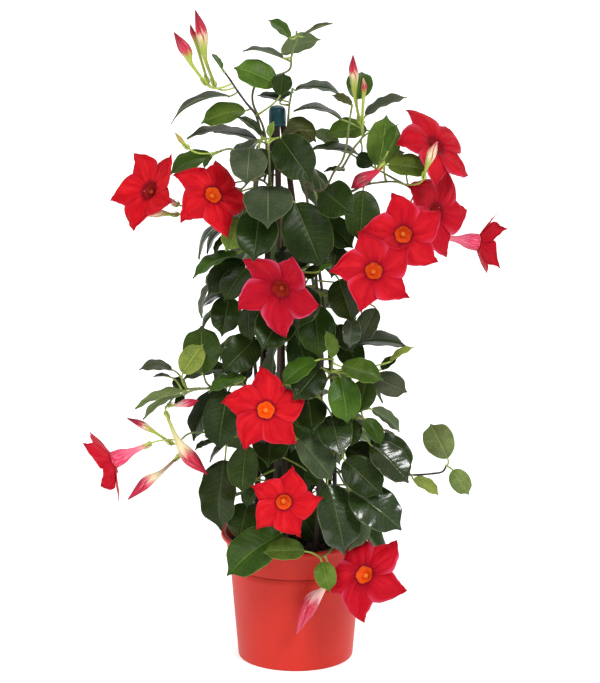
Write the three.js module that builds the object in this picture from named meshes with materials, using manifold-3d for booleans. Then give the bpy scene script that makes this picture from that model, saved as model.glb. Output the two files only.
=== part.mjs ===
// A climbing mandevilla, grown up three canes in a plastic pot.
// Millimetres, +Z up, origin at the middle of the pot's base. The soil fills the pot, six leafy
// vines rise from holes in it round the canes, and each bloom and bud sits on a vine's stalk.

import * as THREE from 'three';
import { mergeVertices } from 'three/addons/utils/BufferGeometryUtils.js';
import Module from 'manifold-3d';

const wasm = await Module();
wasm.setup();

// ---- driving dimensions -------------------------------------------------------------------------

const pot = {
  height: 131, baseRadius: 57.5, bandHeight: 100, bandRadius: 66, flareRadius: 70.5, lipRadius: 75,
  lipHeight: 5, wall: 2.2, floor: 2.6, sides: 24, drainRadius: 4.5, drainCircle: 36, drains: 6,
};
const soil = { top: 118, lump: 2.2, holeDepth: 26 };
const cane = { radius: 3, circle: 48, sides: 8, tipCircle: 3.9 };
const cap = { across: -18, height: 571, radius: 8.8, length: 19, sides: 12 };
const stem = {
  foot: 2.4, tip: 1.3, shoot: 1.3, stalk: 0.95, sides: 5, fewSides: 3, turn: 40, circle: 38, bulge: 16,
  narrowing: 20, crown: 563,
};
const blade = { aspect: 0.7, longest: 60, thickness: 0.8, arch: 0.07, fold: 0.14 };
const flower = { tube: 45, throat: 8, thickness: 0.8, lobes: 5, foot: 2 };
const seat = 0.3;      // the gap that seated pieces keep
const leafGaps = [6, 4.5];    // the distance kept between a leaf's sample points and its neighbours',
                              // and the one that serves where there is less room

// ---- the drawing plane --------------------------------------------------------------------------

// Places on the plant are given as seen from the front and a little above: millimetres across and up
// in a drawing plane that leans back by this angle, and millimetres towards the front.
const lean = THREE.MathUtils.degToRad(17.5);
const acrossAxis = new THREE.Vector3(1, 0, 0);
const upAxis = new THREE.Vector3(0, Math.sin(lean), Math.cos(lean));
const outAxis = new THREE.Vector3(0, -Math.cos(lean), Math.sin(lean));

function at([across, up, towards]) {
  return new THREE.Vector3(across, -towards, (up + towards * Math.sin(lean)) / Math.cos(lean));
}

function direction(across, up, out) {
  return new THREE.Vector3()
    .addScaledVector(acrossAxis, across)
    .addScaledVector(upAxis, up)
    .addScaledVector(outAxis, out);
}

const along = (start, way, distance) => start.clone().addScaledVector(way, distance);

// ---- solids -------------------------------------------------------------------------------------

// Joins a run of rings of points into one closed body. Neighbouring rings may differ in number, and
// a ring of one point is a tip. From the ring numbered fold on, the faces lean the other way, so
// that the two skins of a thin wall are split into triangles alike.
function skin(rings, fold = rings.length) {
  const points = rings.flat();
  const faces = [];
  const close = (first, count, flip) => {
    for (let i = 1; i + 1 < count; i++) {
      faces.push(flip ? [first, first + i + 1, first + i] : [first, first + i, first + i + 1]);
    }
  };
  let first = 0;
  close(0, rings[0].length, true);
  for (let k = 0; k + 1 < rings.length; k++) {
    const m = rings[k].length;
    const n = rings[k + 1].length;
    const next = first + m;
    const ends = [m > 1 ? m : 0, n > 1 ? n : 0];
    const bias = k < fold ? 1e-6 : -1e-6;
    for (let i = 0, j = 0; i < ends[0] || j < ends[1];) {
      const step = j >= ends[1] || (i < ends[0] && (i + 0.5) / m < (j + 0.5) / n + bias);
      if (step) {
        faces.push([first + i, first + (i + 1) % m, next + (j % n)]);
        i++;
      } else {
        faces.push([first + (i % m), next + (j + 1) % n, next + j]);
        j++;
      }
    }
    first = next;
  }
  close(first, rings.at(-1).length, false);
  let volume = 0;
  for (const [a, b, c] of faces) {
    volume += points[a].dot(new THREE.Vector3().crossVectors(points[b], points[c]));
  }
  const turned = volume < 0 ? faces.map(([a, b, c]) => [a, c, b]) : faces;
  const geometry = new THREE.BufferGeometry().setFromPoints(points);
  geometry.setIndex(turned.flat());
  return solid(geometry);
}

function solid(geometry) {
  const bare = geometry.clone();
  bare.deleteAttribute('normal');
  bare.deleteAttribute('uv');
  const merged = mergeVertices(bare, 1e-4);
  return new wasm.Manifold(new wasm.Mesh({
    numProp: 3,
    vertProperties: new Float32Array(merged.attributes.position.array),
    triVerts: new Uint32Array(merged.index.array),
  }));
}

const fuse = (solids) => solids.reduce((whole, one) => whole.add(one));

// A tapering tube along points: its rings stay square to the path and never twist about it.
function tube(path, radii, sides) {
  const last = path.length - 1;
  const ways = path.map((p, i) => path[Math.min(i + 1, last)].clone()
    .sub(path[Math.max(i - 1, 0)]).normalize());
  const side = new THREE.Vector3().crossVectors(ways[0], Math.abs(ways[0].z) > 0.8 ? acrossAxis : upAxis);
  side.normalize();
  return skin(path.map((p, i) => {
    if (i) side.applyQuaternion(new THREE.Quaternion().setFromUnitVectors(ways[i - 1], ways[i]));
    const other = new THREE.Vector3().crossVectors(ways[i], side);
    const radius = Array.isArray(radii) ? radii[i] : radii;
    return Array.from({ length: sides }, (_, j) => {
      const angle = (2 * Math.PI * j) / sides;
      return along(along(p, side, radius * Math.cos(angle)), other, radius * Math.sin(angle));
    });
  }));
}

// ---- pot ----------------------------------------------------------------------------------------

const outerRadius = (z) => pot.baseRadius + ((pot.bandRadius - pot.baseRadius) * z) / pot.bandHeight;

function turned(profile, sides) {
  const points = profile.map(([r, z]) => new THREE.Vector2(r, z));
  const geometry = new THREE.LatheGeometry(points, sides);
  return geometry.rotateX(Math.PI / 2);
}

// Thin wall with a rounded foot, a step where the upper band starts, and a rolled lip.
function makePot() {
  const { height, bandHeight, flareRadius, lipRadius, lipHeight, wall, floor } = pot;
  const under = height - lipHeight;
  const shell = solid(turned([
    [0, 0], [pot.baseRadius - 1.4, 0], [outerRadius(1.4), 1.4], [outerRadius(bandHeight), bandHeight],
    [outerRadius(bandHeight) + 0.8, bandHeight + 1], [flareRadius, under], [lipRadius - 0.8, under],
    [lipRadius, under + 1.2], [lipRadius, height - 1.4], [lipRadius - 1.4, height],
    [flareRadius, height], [flareRadius - wall, under], [outerRadius(bandHeight) - wall, bandHeight],
    [outerRadius(floor) - wall, floor], [0, floor],
  ], pot.sides));
  const drains = Array.from({ length: pot.drains }, (_, i) => {
    const angle = (2 * Math.PI * i) / pot.drains;
    const drill = new THREE.CylinderGeometry(pot.drainRadius, pot.drainRadius, 4 * floor, 8);
    drill.rotateX(Math.PI / 2);
    return solid(drill.translate(pot.drainCircle * Math.cos(angle), pot.drainCircle * Math.sin(angle), 0));
  });
  return shell.subtract(fuse(drains));
}

// ---- canes and their cap ------------------------------------------------------------------------

const caneAngles = [-100, 25, 150].map(THREE.MathUtils.degToRad);
const caneEnds = caneAngles.map((angle) => [
  new THREE.Vector3(cane.circle * Math.cos(angle), cane.circle * Math.sin(angle), soil.top - soil.holeDepth),
  new THREE.Vector3(
    cap.across + cane.tipCircle * Math.cos(angle), cane.tipCircle * Math.sin(angle), cap.height),
]);

const caneSolid = (ends, grow) => tube(ends, cane.radius + grow, cane.sides);

// A rounded cap with a socket for the tip of each cane.
function makeCap() {
  const { radius, length } = cap;
  const geometry = turned([
    [0, 0], [radius - 1, 0], [radius, 1], [radius - 0.4, length - 5], [radius - 2.2, length - 1.5],
    [radius - 4.6, length], [0, length],
  ], cap.sides);
  const body = solid(geometry.translate(cap.across, 0, cap.height - length + 4));
  return caneEnds.reduce((whole, ends) => {
    const way = ends[1].clone().sub(ends[0]).normalize();
    return whole.subtract(caneSolid([ends[0], along(ends[1], way, seat)], seat));
  }, body);
}

// ---- stems --------------------------------------------------------------------------------------

// The vines: the bearing of each one's foot, in degrees from the front, and the height of its end.
const vines = {
  vine_front_left: [-30, 500], vine_front_right: [30, 505], vine_right: [90, 480],
  vine_back_right: [150, 520], vine_back_left: [-150, 530], vine_left: [-90, 520],
};
const vineNames = Object.keys(vines);

function mainStem([bearing, top]) {
  const foot = soil.top - soil.holeDepth + 4;
  const reach = stem.crown - foot;
  return Array.from({ length: 11 }, (_, i) => {
    const z = foot + ((top - foot) * i) / 10;
    const t = (z - foot) / reach;
    const angle = THREE.MathUtils.degToRad(bearing + stem.turn * t);
    const radius = stem.circle + stem.bulge * Math.sin(Math.PI * t) - stem.narrowing * t;
    return new THREE.Vector3(cap.across * t + radius * Math.sin(angle), -radius * Math.cos(angle), z);
  });
}

// Side shoots, as places across, up and towards. Each one springs from the nearest vine below it.
const shoots = [
  // the leader above the cap, and the twig beside the cap
  [[-29, 504, 20], [-32, 527, 22], [-42, 550, 16], [-41, 566, 12], [-32, 576, 11], [-19, 578, 12],
    [-6, 584, 10], [-4, 596, 8], [-2, 605, 6], [1, 613, 5], [1, 622, 5]],
  [[-11, 500, 22], [-8, 526, 15], [-6, 549, 12], [-3, 565, 9]],
  // the left bud truss and its young tip
  [[-33, 516, 36], [-39, 538, 32], [-49, 551, 30], [-57, 562, 28], [-65, 574, 26], [-73, 585, 24],
    [-82, 598, 23]],
  // stalks of the two left blooms, the leaf above them, and a young tip in the middle
  [[-20, 460, 46], [-31, 473, 48], [-43, 475, 46], [-52, 467, 36], [-63, 456, 22], [-79, 449, 10],
    [-92, 447, 4]],
  [[-29, 490, 38], [-49, 499, 44], [-64, 505, 46], [-78, 502, 46]],
  [[-22, 452, 56], [-25, 478, 62], [-26, 498, 64], [-27, 510, 63]],
  // upper right: a leafy tip, the upright buds, the bloom truss and a leaf stalk
  [[27, 464, 54], [38, 482, 52], [46, 493, 48], [50, 506, 45], [52, 520, 42], [54, 536, 40], [56, 548, 37]],
  [[47, 488, 30], [57, 505, 26], [67, 518, 24], [67, 525, 24]],
  [[53, 463, 40], [67, 469, 38], [81, 472, 36], [99, 473, 26], [113, 468, 8], [124, 456, -12]],
  [[71, 470, 37], [79, 482, 40], [85, 494, 40]],
  // the low left truss
  [[-33, 260, 44], [-51, 271, 50], [-70, 270, 52], [-83, 268, 53], [-108, 267, 54], [-120, 260, 54],
    [-130, 248, 54]],
  [[-45, 228, 40], [-65, 225, 42], [-85, 224, 44], [-105, 223, 46], [-115, 216, 46]],
  [[-81, 268, 53], [-89, 274, 54], [-92, 284, 56]],
  // the lone shoot at the right, two short ones in front, and two over the pot's rim
  [[77, 182, 36], [100, 181, 38], [120, 181, 35], [135, 182, 28], [147, 184, 24], [151, 190, 23]],
  [[21, 260, 50], [31, 276, 72], [36, 287, 86], [37, 297, 92]],
  [[45, 222, 48], [55, 235, 60], [62, 244, 68], [73, 248, 70]],
  [[47, 136, 56], [41, 116, 70], [33, 104, 84], [25, 99, 88]],
  [[45, 135, 35], [62, 128, 45], [80, 108, 52], [86, 92, 50]],
];

// ---- blooms and buds ----------------------------------------------------------------------------

// Each bloom: the place of its throat, its bearing and rise in degrees from straight out, the angle
// of its first lobe's tip, the radius of its limb, how far the lobes' tips stand forward, and how
// much of each lobe is a narrow spur.
const blooms = [
  [[-147, 465, 45], -43, 18, 53, 45, 7, 0.7], [[-80, 461, 65], 24, 22, 73, 44, -12, 0.7],
  [[-16, 365, 88], -25, -22, 58, 47, 12, 0.4], [[78, 385, 112], 10, 15, 108, 45, -6, 0.9],
  [[107, 420, 78], 5, -4, 35, 44, 2, 0.6], [[141, 511, 20], 46, 32, 32, 48, -8, 0.5],
  [[142, 443, 20], 47, 0, 76, 48, -2, 0.5], [[187, 413, -32], 106, -8, 80, 35, 18, 1],
  [[-29, 247, 112], 5, 8, 26, 45, -5, 0.6], [[-11, 154, 116], 8, -14, 9, 40, 3, 1],
  [[67, 83, 106], -27, 17, 57, 47, -11, 0.4], [[-186, 194, 50], -104, -24, 40, 40, 12, 0.6],
];
const lobeAngles = [-50, -34, -14, 0];       // a lobe's notch, shoulder, brow and tip
const lobeRadii = [0.64, 0.8, 0.93, 1];      // of a broad lobe
const spurRadii = [0.64, 0.73, 0.83, 1];     // of a spurred lobe
const lobeHeights = [-0.06, 0.03, 0.02, 0];

function ring(centre, way, side, other, radii, count) {
  return Array.from({ length: count }, (_, i) => {
    const angle = (2 * Math.PI * i) / count;
    const radius = Array.isArray(radii) ? radii[i] : radii;
    return along(along(centre, side, radius * Math.cos(angle)), other, radius * Math.sin(angle));
  });
}

function bloomFrame([place, bearing, rise, twist, radius, forward, spur]) {
  const [b, r] = [bearing, rise].map(THREE.MathUtils.degToRad);
  const way = direction(Math.sin(b) * Math.cos(r), Math.sin(r), Math.cos(b) * Math.cos(r));
  const side = new THREE.Vector3().crossVectors(upAxis, way).normalize();
  const other = new THREE.Vector3().crossVectors(way, side);
  return { throat: at(place), way, side, other, twist, radius, forward, spur };
}

// The limb's rim: five lobes like a pinwheel's, each with its pointed tip to one side.
function limb(frame, height) {
  const points = [];
  for (let lobe = 0; lobe < flower.lobes; lobe++) {
    lobeAngles.forEach((turn, i) => {
      const angle = THREE.MathUtils.degToRad(frame.twist + lobe * 72 + turn);
      const share = THREE.MathUtils.lerp(lobeRadii[i], spurRadii[i], frame.spur);
      const radius = frame.radius * share;
      const lift = share * frame.forward + frame.radius * lobeHeights[i] + height;
      const base = along(frame.throat, frame.way, lift);
      points.push(along(along(base, frame.side, radius * Math.cos(angle)), frame.other,
        radius * Math.sin(angle)));
    });
  }
  return points;
}

// Funnel tube, open throat with the anther cone standing in it, and the flat five-lobed limb.
function makeBloom(frame) {
  const start = THREE.MathUtils.degToRad(frame.twist - 52);
  const side = along(frame.side.clone().multiplyScalar(Math.cos(start)), frame.other, Math.sin(start));
  const other = new THREE.Vector3().crossVectors(frame.way, side);
  const round = (height, radius, count = 10) =>
    ring(along(frame.throat, frame.way, height), frame.way, side, other, radius, count);
  return skin([
    round(-flower.tube, flower.foot, 5), round(-30, 3, 5), round(-14, 8.2), round(-1.6, flower.throat + 1.4),
    limb(frame, -flower.thickness), limb(frame, 0),
    round(0, flower.throat), round(-14, 5), round(-14.5, 3.4, 5), round(-5, 0, 1),
  ], 5);
}

// Each bud: the places of its foot, neck, shoulder, brow and tip, and its greatest radius.
const buds = {
  bud_top_left_tall: [[-80, 569, 25], [-89, 593, 21], [-92, 613, 18], [-94, 625, 17], [-99, 642, 16], 6],
  bud_top_left_thin: [[-87, 572, 20], [-96, 602, 10], [-100, 616, 8], [-102, 621, 7], [-104, 628, 6], 2.8],
  bud_top_left_short: [[-89, 570, 32], [-103, 589, 34], [-107, 600, 33], [-112, 608, 32], [-120, 620, 31], 6],
  bud_top_right_tall: [[64, 532, 22], [59, 556, 20], [58, 576, 19], [57, 585, 19], [57, 598, 18], 4.8],
  bud_top_right_short: [[66, 531, 31], [67, 552, 31], [68, 564, 31], [68, 568, 31], [67, 575, 31], 2.8],
  bud_truss_right: [[127, 477, 62], [129, 485, 64], [133, 496, 68], [136, 503, 68], [140, 512, 66], 4.6],
  bloom_spent_right: [[86, 489, 52], [81, 483, 54], [68, 476, 58], [62, 471, 59], [55, 466, 60], 7],
  bud_truss_left_large: [
    [-129, 243, 56], [-119, 219, 59], [-109, 203, 62], [-101, 194, 64], [-88, 182, 66], 7.8],
  bud_truss_left_low: [
    [-117, 200, 38], [-133, 185, 38], [-146, 176, 38], [-154, 169, 38], [-168, 156, 38], 6],
  bud_truss_left_thin: [
    [-124, 213, 47], [-139, 223, 49], [-149, 229, 50], [-156, 233, 50], [-168, 238, 50], 3.8],
  bud_truss_left_small: [
    [-126, 251, 50], [-119, 251, 52], [-110, 253, 55], [-104, 254, 55], [-97, 256, 56], 4.6],
  bud_over_rim: [[31, 72, 80], [27, 66, 80], [18, 57, 80], [11, 44, 80], [1, 22, 82], 8.2],
  bud_left_pale: [[-118, 441, 18], [-124, 441, 22], [-133, 442, 25], [-139, 441, 28], [-148, 439, 32], 3.8],
  bud_left_small: [[-107, 507, 38], [-110, 510, 38], [-113, 513, 38], [-115, 516, 38], [-119, 521, 38], 2.6],
};

function budPath(row) {
  return row.slice(0, 5).map(at);
}

// A furled corolla: slim tube, swollen shoulder and a sharp tip.
function makeBud(row) {
  const path = budPath(row);
  const wide = row[5];
  return tube(path, [1.4, Math.max(1.6, 0.36 * wide), 0.92 * wide, wide * 0.86, 0.5], 6);
}

// ---- leaves -------------------------------------------------------------------------------------

// Each leaf: its blade's foot and tip, across and up; the width that shows, negative where the
// underside does; how far the middle of the blade stands to the front. Then, where they matter, how
// much nearer the tip is than the foot, and the arch of the blade.
const leafRows = [
  // low front, over the pot's rim
  [20, 296, -14, 271, 20, 94], [28, 292, 1, 260, 33, 80], [25, 99, 33, 70, 22, 88],
  [9, 106, -32, 104, 22, 104], [-14, 124, -69, 81, 41, 90],
  [32, 172, 48, 101, 43, 92], [55, 166, 106, 127, 42, 84], [-48, 211, -53, 163, 31, 78],
  [-24, 220, -27, 192, 37, 84], [6, 213, 40, 172, 30, 96], [36, 241, 45, 202, 35, 90],
  [45, 200, 83, 165, 36, 88], [76, 211, 113, 174, 32, 82], [50, 206, 93, 190, 29, 76],
  [61, 148, 54, 100, -27, 78], [37, 299, 31, 325, 13, 98], [46, 290, 87, 276, 23, 92],
  [44, 285, 51, 238, 33, 86], [13, 258, 17, 224, 34, 78],
  [76, 248, 104, 225, -13, 74], [66, 242, 83, 216, 17, 76],
  [57, 242, 56, 215, 20, 64], [71, 276, 63, 244, 26, 64], [81, 216, 118, 178, 36, 66],
  [-71, 196, -75, 125, 38, 44], [-43, 172, -49, 149, 15, 62], [-48, 152, -57, 115, 34, 66],
  [73, 280, 107, 266, 25, 56], [85, 287, 101, 299, 10, 60], [94, 295, 118, 309, 7, 64],
  [86, 231, 98, 213, 7, 58], [11, 186, 23, 172, 14, 80],
  // centre
  [25, 466, 54, 442, 39, 74], [-27, 468, -27, 428, 50, 92], [-15, 516, 16, 472, 41, 80],
  [-2, 456, 24, 392, 50, 84], [-36, 440, -42, 389, 43, 84, 26], [67, 464, 63, 413, 35, 74],
  [43, 376, 57, 333, 34, 82], [23, 384, 36, 391, 5, 90], [6, 375, 21, 386, 12, 82],
  [10, 374, 3, 331, 37, 74], [55, 338, 54, 308, 19, 80], [82, 352, 68, 318, 22, 56],
  [-11, 348, -33, 306, 41, 68], [-5, 411, 3, 380, 38, 62], [-53, 435, -69, 404, 26, 66],
  [19, 350, 24, 298, 38, 60], [30, 436, 57, 407, 28, 52], [41, 406, 35, 374, 26, 50],
  [53, 311, 106, 309, 15, 56, null, 0.12], [41, 331, 57, 304, 20, 56], [-39, 318, -73, 285, 36, 56],
  [-47, 354, -45, 320, 20, 60], [-47, 295, -49, 270, 14, 52], [-51, 279, -87, 265, 13, 66],
  [-53, 272, -69, 286, 9, 58], [46, 322, 62, 290, 28, 34], [-22, 216, -20, 170, 36, 10],
  // left of the column
  [-47, 447, -94, 401, 7, 52, null, 0.14], [-58, 402, -102, 377, 13, 50, null, 0.1],
  [-71, 416, -84, 398, 7, 44], [-49, 388, -71, 355, 26, 54], [-47, 398, -85, 364, 26, 40],
  [-67, 355, -74, 315, 31, 48], [-86, 373, -94, 338, 6, 30], [-112, 283, -92, 312, 24, 72],
  [-93, 287, -94, 335, 38, 56], [-123, 287, -156, 287, 11, 48, null, 0.12],
  [-125, 280, -142, 280, 3, 44], [-110, 266, -122, 279, 13, 58], [-108, 267, -155, 249, 9, 62],
  [-115, 262, -153, 237, 7, 64], [-109, 265, -117, 253, 9, 50], [-67, 265, -76, 206, 38, 60],
  [-73, 264, -107, 212, 24, 50], [-63, 289, -108, 279, 14, 36], [-82, 215, -101, 207, 6, 48],
  [-67, 214, -90, 190, 6, 52],
  // upper left
  [-45, 509, -48, 472, 38, 60], [-35, 506, -25, 477, 15, 48], [-27, 512, -23, 527, 7, 62],
  [-33, 518, -57, 537, 9, 46], [-45, 545, -89, 532, 22, 36], [-79, 502, -121, 483, 19, 50],
  [-83, 498, -91, 486, 6, 42], [-38, 514, -81, 521, 9, 40], [-39, 516, -103, 518, 9, 30, null, 0.1],
  [-66, 558, -124, 532, 6, 20, null, 0.14], [-72, 584, -82, 599, 4, 28],
  // top
  [-14, 517, 17, 523, 8, 44, null, 0.16], [-7, 534, 21, 513, 20, 22], [-19, 570, -61, 586, 28, 20],
  [-15, 558, -12, 580, 21, 32], [-13, 554, -38, 558, 8, 36], [-16, 553, -2, 563, 5, 26],
  [-5, 565, 42, 559, 10, 14, null, 0.12], [46, 535, -2, 544, 7, 22, null, 0.12],
  [-5, 615, -27, 633, 12, 16], [3, 615, 32, 628, 4, 4], [-14, 601, 25, 615, -18, -12],
  [-12, 596, -52, 603, 6, 12, null, 0.08],
  // upper right
  [89, 498, 99, 525, 10, 54], [83, 494, 91, 544, 34, 44], [87, 490, 129, 484, 23, 36],
  [81, 490, 63, 496, 17, 24], [91, 494, 108, 503, -10, 22], [67, 501, 17, 505, 9, 32],
  [47, 507, 22, 522, -14, 8], [71, 525, 30, 522, 21, -2], [69, 539, 111, 557, 11, 12, null, 0.08],
  [56, 549, 36, 558, 9, 34], [61, 555, 66, 584, 27, 6], [53, 485, 33, 484, 5, 30],
  // far right shoot
  [152, 198, 135, 233, 31, 22], [155, 190, 171, 165, 21, 26], [114, 180, 139, 164, 13, 46],
];

// Half the blade's width, as a share of its widest: broad, blunt at the foot, with a drip tip.
function bladeWidth(u) {
  return Math.sin(Math.PI * u ** 0.9) ** 0.52 * (1 - 0.72 * THREE.MathUtils.smoothstep(u, 0.8, 0.96));
}

function frontLeaf([footX, footUp, tipX, tipUp, wide, towards, rise = null, arch = blade.arch]) {
  const run = Math.hypot(tipX - footX, tipUp - footUp);
  const shown = Math.abs(wide);
  const under = wide < 0;
  const broad = Math.min(shown / blade.aspect, blade.longest);
  const long = rise === null ? Math.max(run, broad) : Math.hypot(run, rise);
  const full = Math.max(shown, blade.aspect * long);
  const goesUp = tipUp > footUp;
  const depth = rise ?? Math.sqrt(long * long - run * run) * (goesUp === under ? 1 : -1);
  const way = direction(tipX - footX, tipUp - footUp, depth).normalize();
  const face = outAxis.clone().addScaledVector(way, -outAxis.dot(way)).normalize();
  if (under) face.negate();
  const side = new THREE.Vector3().crossVectors(way, face);
  const roll = Math.acos(shown / full);
  const lifts = 2 * side.dot(upAxis) + side.x * Math.sign(footX) * 0.5 + side.dot(outAxis) * 0.1;
  const normal = along(face.clone().multiplyScalar(Math.cos(roll)), side, Math.sin(roll) * Math.sign(lifts));
  const middle = at([(footX + tipX) / 2, (footUp + tipUp) / 2, towards]);
  return { foot: along(middle, way, -long / 2), way, normal, long, wide: full, arch,
    sections: [0.2, 0.52, 0.85], slide: outAxis.clone().negate() };
}

function bladePoint(leaf, u, v) {
  const half = (leaf.wide / 2) * bladeWidth(u);
  const side = new THREE.Vector3().crossVectors(leaf.normal, leaf.way);
  const lift = leaf.arch * leaf.long * 4 * u * (1 - u) + blade.fold * Math.abs(v) * half;
  return along(along(along(leaf.foot, leaf.way, u * leaf.long), leaf.normal, lift), side, v * half);
}

// The blade with its stalk, as one loft from the stem to the tip.
function makeLeaf(leaf) {
  const half = blade.thickness / 2;
  const stalkWay = leaf.foot.clone().sub(leaf.root).normalize();
  const side = new THREE.Vector3().crossVectors(leaf.normal, leaf.way);
  const turn = new THREE.Quaternion().setFromUnitVectors(leaf.way, stalkWay);
  const triangle = (centre, quaternion) => {
    const [s, n] = [side, leaf.normal].map((axis) => axis.clone().applyQuaternion(quaternion));
    return [[-1, 0.6], [1, 0.6], [0, -1]]
      .map(([a, b]) => along(along(centre, s, a * stem.stalk), n, b * stem.stalk));
  };
  const still = new THREE.Quaternion();
  const section = (u) => [[-1, 1], [1, 1], [1, -1], [-1, -1]]
    .map(([v, face]) => along(bladePoint(leaf, u, v), leaf.normal, face * half));
  const tip = bladePoint(leaf, 1, 0);
  return skin([
    triangle(leaf.root, turn), triangle(leaf.foot, still.slerp(turn, 0.5)),
    ...leaf.sections.map(section),
    [along(tip, leaf.normal, half), along(tip, leaf.normal, -half)],
  ]);
}

// ---- finding a clear place for every leaf ---------------------------------------------------------

// A cloud of points, sorted into cells, stands for all that is placed. A leaf is clear where none of
// its own sample points lies within the gap of a point in the cloud.
const perches = [];    // points on the stems that a stalk may spring from

const cellOf = (p) => [p.x, p.y, p.z].map((c) => Math.floor(c / leafGaps[0]));
const cells = new Map();

function occupy(points) {
  for (const p of points) {
    const key = cellOf(p).join();
    if (!cells.has(key)) cells.set(key, []);
    cells.get(key).push(p);
  }
}

// Whether a point lies in the soil, in the pot or too near them.
function inPot(p) {
  const r = Math.hypot(p.x, p.y);
  const margin = leafGaps[1];
  return p.z < pot.height + margin && r < pot.lipRadius + margin
    && (p.z < soil.top + margin + soil.lump || r > pot.flareRadius - pot.wall - margin);
}

function isClear(points, gap) {
  return points.every((p) => {
    if (inPot(p)) return false;
    const [i, j, k] = cellOf(p);
    for (let a = i - 1; a <= i + 1; a++) {
      for (let b = j - 1; b <= j + 1; b++) {
        for (let c = k - 1; c <= k + 1; c++) {
          if (cells.get([a, b, c].join())?.some((q) => p.distanceTo(q) < gap)) return false;
        }
      }
    }
    return true;
  });
}

function bladeSamples(leaf) {
  const points = [bladePoint(leaf, 1, 0)];
  for (let i = 0; i < 8; i++) {
    for (let j = -3; j <= 3; j++) points.push(bladePoint(leaf, (i + 0.8) / 8, 0.31 * j));
  }
  return points;
}

function stalkSamples(leaf, root) {
  const length = leaf.foot.distanceTo(root);
  const count = Math.ceil(length / 5);
  return Array.from({ length: count }, (_, i) => root.clone().lerp(leaf.foot, (i + 1) / count))
    .filter((p) => p.distanceTo(root) > 9);
}

// The best perches for a stalk are near the blade's foot and behind it.
function rankedPerches(leaf) {
  return perches.map((perch) => {
    const way = leaf.foot.clone().sub(perch.point);
    const length = way.length();
    return { ...perch, cost: length * (1.5 - (0.5 * way.dot(leaf.way)) / (length + 0.001)) };
  }).sort((a, b) => a.cost - b.cost).slice(0, 12);
}

// Moves the leaf back or a little forward, or a little on along its blade, until its blade and a stalk
// are both clear.
function settle(leaf, moves, gaps) {
  for (const gap of gaps) {
    for (const [back, on] of moves) {
      const moved = { ...leaf, foot: along(along(leaf.foot, leaf.slide, back), leaf.way, on) };
      const samples = bladeSamples(moved);
      if (!isClear(samples, gap)) continue;
      for (const perch of rankedPerches(moved)) {
        const stalk = stalkSamples(moved, perch.point);
        if (perch.cost < 95 && isClear(stalk, gap)) {
          occupy([...samples, ...stalk]);
          return { ...moved, root: perch.point, vine: perch.vine };
        }
      }
    }
  }
  return null;
}

// Leaves at the back, where each hangs out and down from the vines: bearings by the golden angle,
// and small differences from a seeded draw.
const between = ([least, more], draw) => least + more * draw();
const seededDraw = (seed) => () => (seed = (seed * 16807) % 2147483647) / 2147483647;
const goldenAngle = 137.508;
const backLeaves = {
  count: 80, lowest: 150, highest: 555, spread: 215, droop: [25, 50], skew: 1.1, long: [44, 16],
  reach: [52, 14], narrowing: 26, arch: 0.1, sections: [0.25, 0.76],
};

function backLeaf(index, draw) {
  const { count, lowest, highest, spread, arch, sections } = backLeaves;
  const z = lowest + ((highest - lowest) * (index + draw())) / count;
  const turn = ((index * goldenAngle) % 360) / 360;
  const bearing = THREE.MathUtils.degToRad(180 + (turn - 0.5) * spread);
  const droop = THREE.MathUtils.degToRad(between(backLeaves.droop, draw));
  const outwards = new THREE.Vector3(Math.sin(bearing), -Math.cos(bearing), 0);
  const skew = (draw() - 0.5) * backLeaves.skew;
  const across = new THREE.Vector3(-outwards.y, outwards.x, 0);
  const way = outwards.clone().multiplyScalar(Math.cos(droop)).addScaledVector(across, skew);
  way.z -= Math.sin(droop);
  way.normalize();
  const normal = new THREE.Vector3(0, 0, 1).addScaledVector(outwards, 0.9);
  normal.addScaledVector(way, -normal.dot(way)).normalize();
  const long = between(backLeaves.long, draw);
  const t = (z - soil.top) / (stem.crown - soil.top);
  const reach = between(backLeaves.reach, draw) - backLeaves.narrowing * t * t;
  const foot = new THREE.Vector3(cap.across * t, 0, z).addScaledVector(outwards, reach);
  return { foot, way, normal, long, wide: blade.aspect * long, arch, sections,
    slide: outwards.clone().negate() };
}

// Leaves in the middle of the plant, where each hangs nearly straight down within the ring of vines,
// with its upper face outwards: they too go round by the golden angle.
const innerLeaves = {
  count: 60, lowest: 165, highest: 520, skew: 1.2, outwards: 0.35, long: [50, 14], reach: [12, 18],
  arch: 0.06, sections: [0.25, 0.76],
};

function innerLeaf(index, draw) {
  const { count, lowest, highest, arch, sections } = innerLeaves;
  const z = lowest + ((highest - lowest) * (index + draw())) / count;
  const bearing = THREE.MathUtils.degToRad(index * goldenAngle);
  const outwards = new THREE.Vector3(Math.sin(bearing), -Math.cos(bearing), 0);
  const across = new THREE.Vector3(-outwards.y, outwards.x, 0);
  const way = across.clone().multiplyScalar((draw() - 0.5) * innerLeaves.skew);
  way.addScaledVector(outwards, innerLeaves.outwards * draw());
  way.z -= 1;
  way.normalize();
  const normal = along(outwards, way, -outwards.dot(way)).normalize();
  const long = between(innerLeaves.long, draw);
  const t = (z - soil.top) / (stem.crown - soil.top);
  const reach = between(innerLeaves.reach, draw);
  const foot = new THREE.Vector3(cap.across * t, 0, z).addScaledVector(outwards, reach);
  return { foot, way, normal, long, wide: blade.aspect * long, arch, sections, slide: outwards };
}

// ---- putting the plant together -----------------------------------------------------------------

const stemSolids = Object.fromEntries(vineNames.map((name) => [name, []]));

function sampleAlong(path, spacing) {
  return path.slice(1).flatMap((end, i) => {
    const count = Math.max(1, Math.ceil(end.distanceTo(path[i]) / spacing));
    return Array.from({ length: count }, (_, j) => path[i].clone().lerp(end, (j + 1) / count));
  });
}

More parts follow.
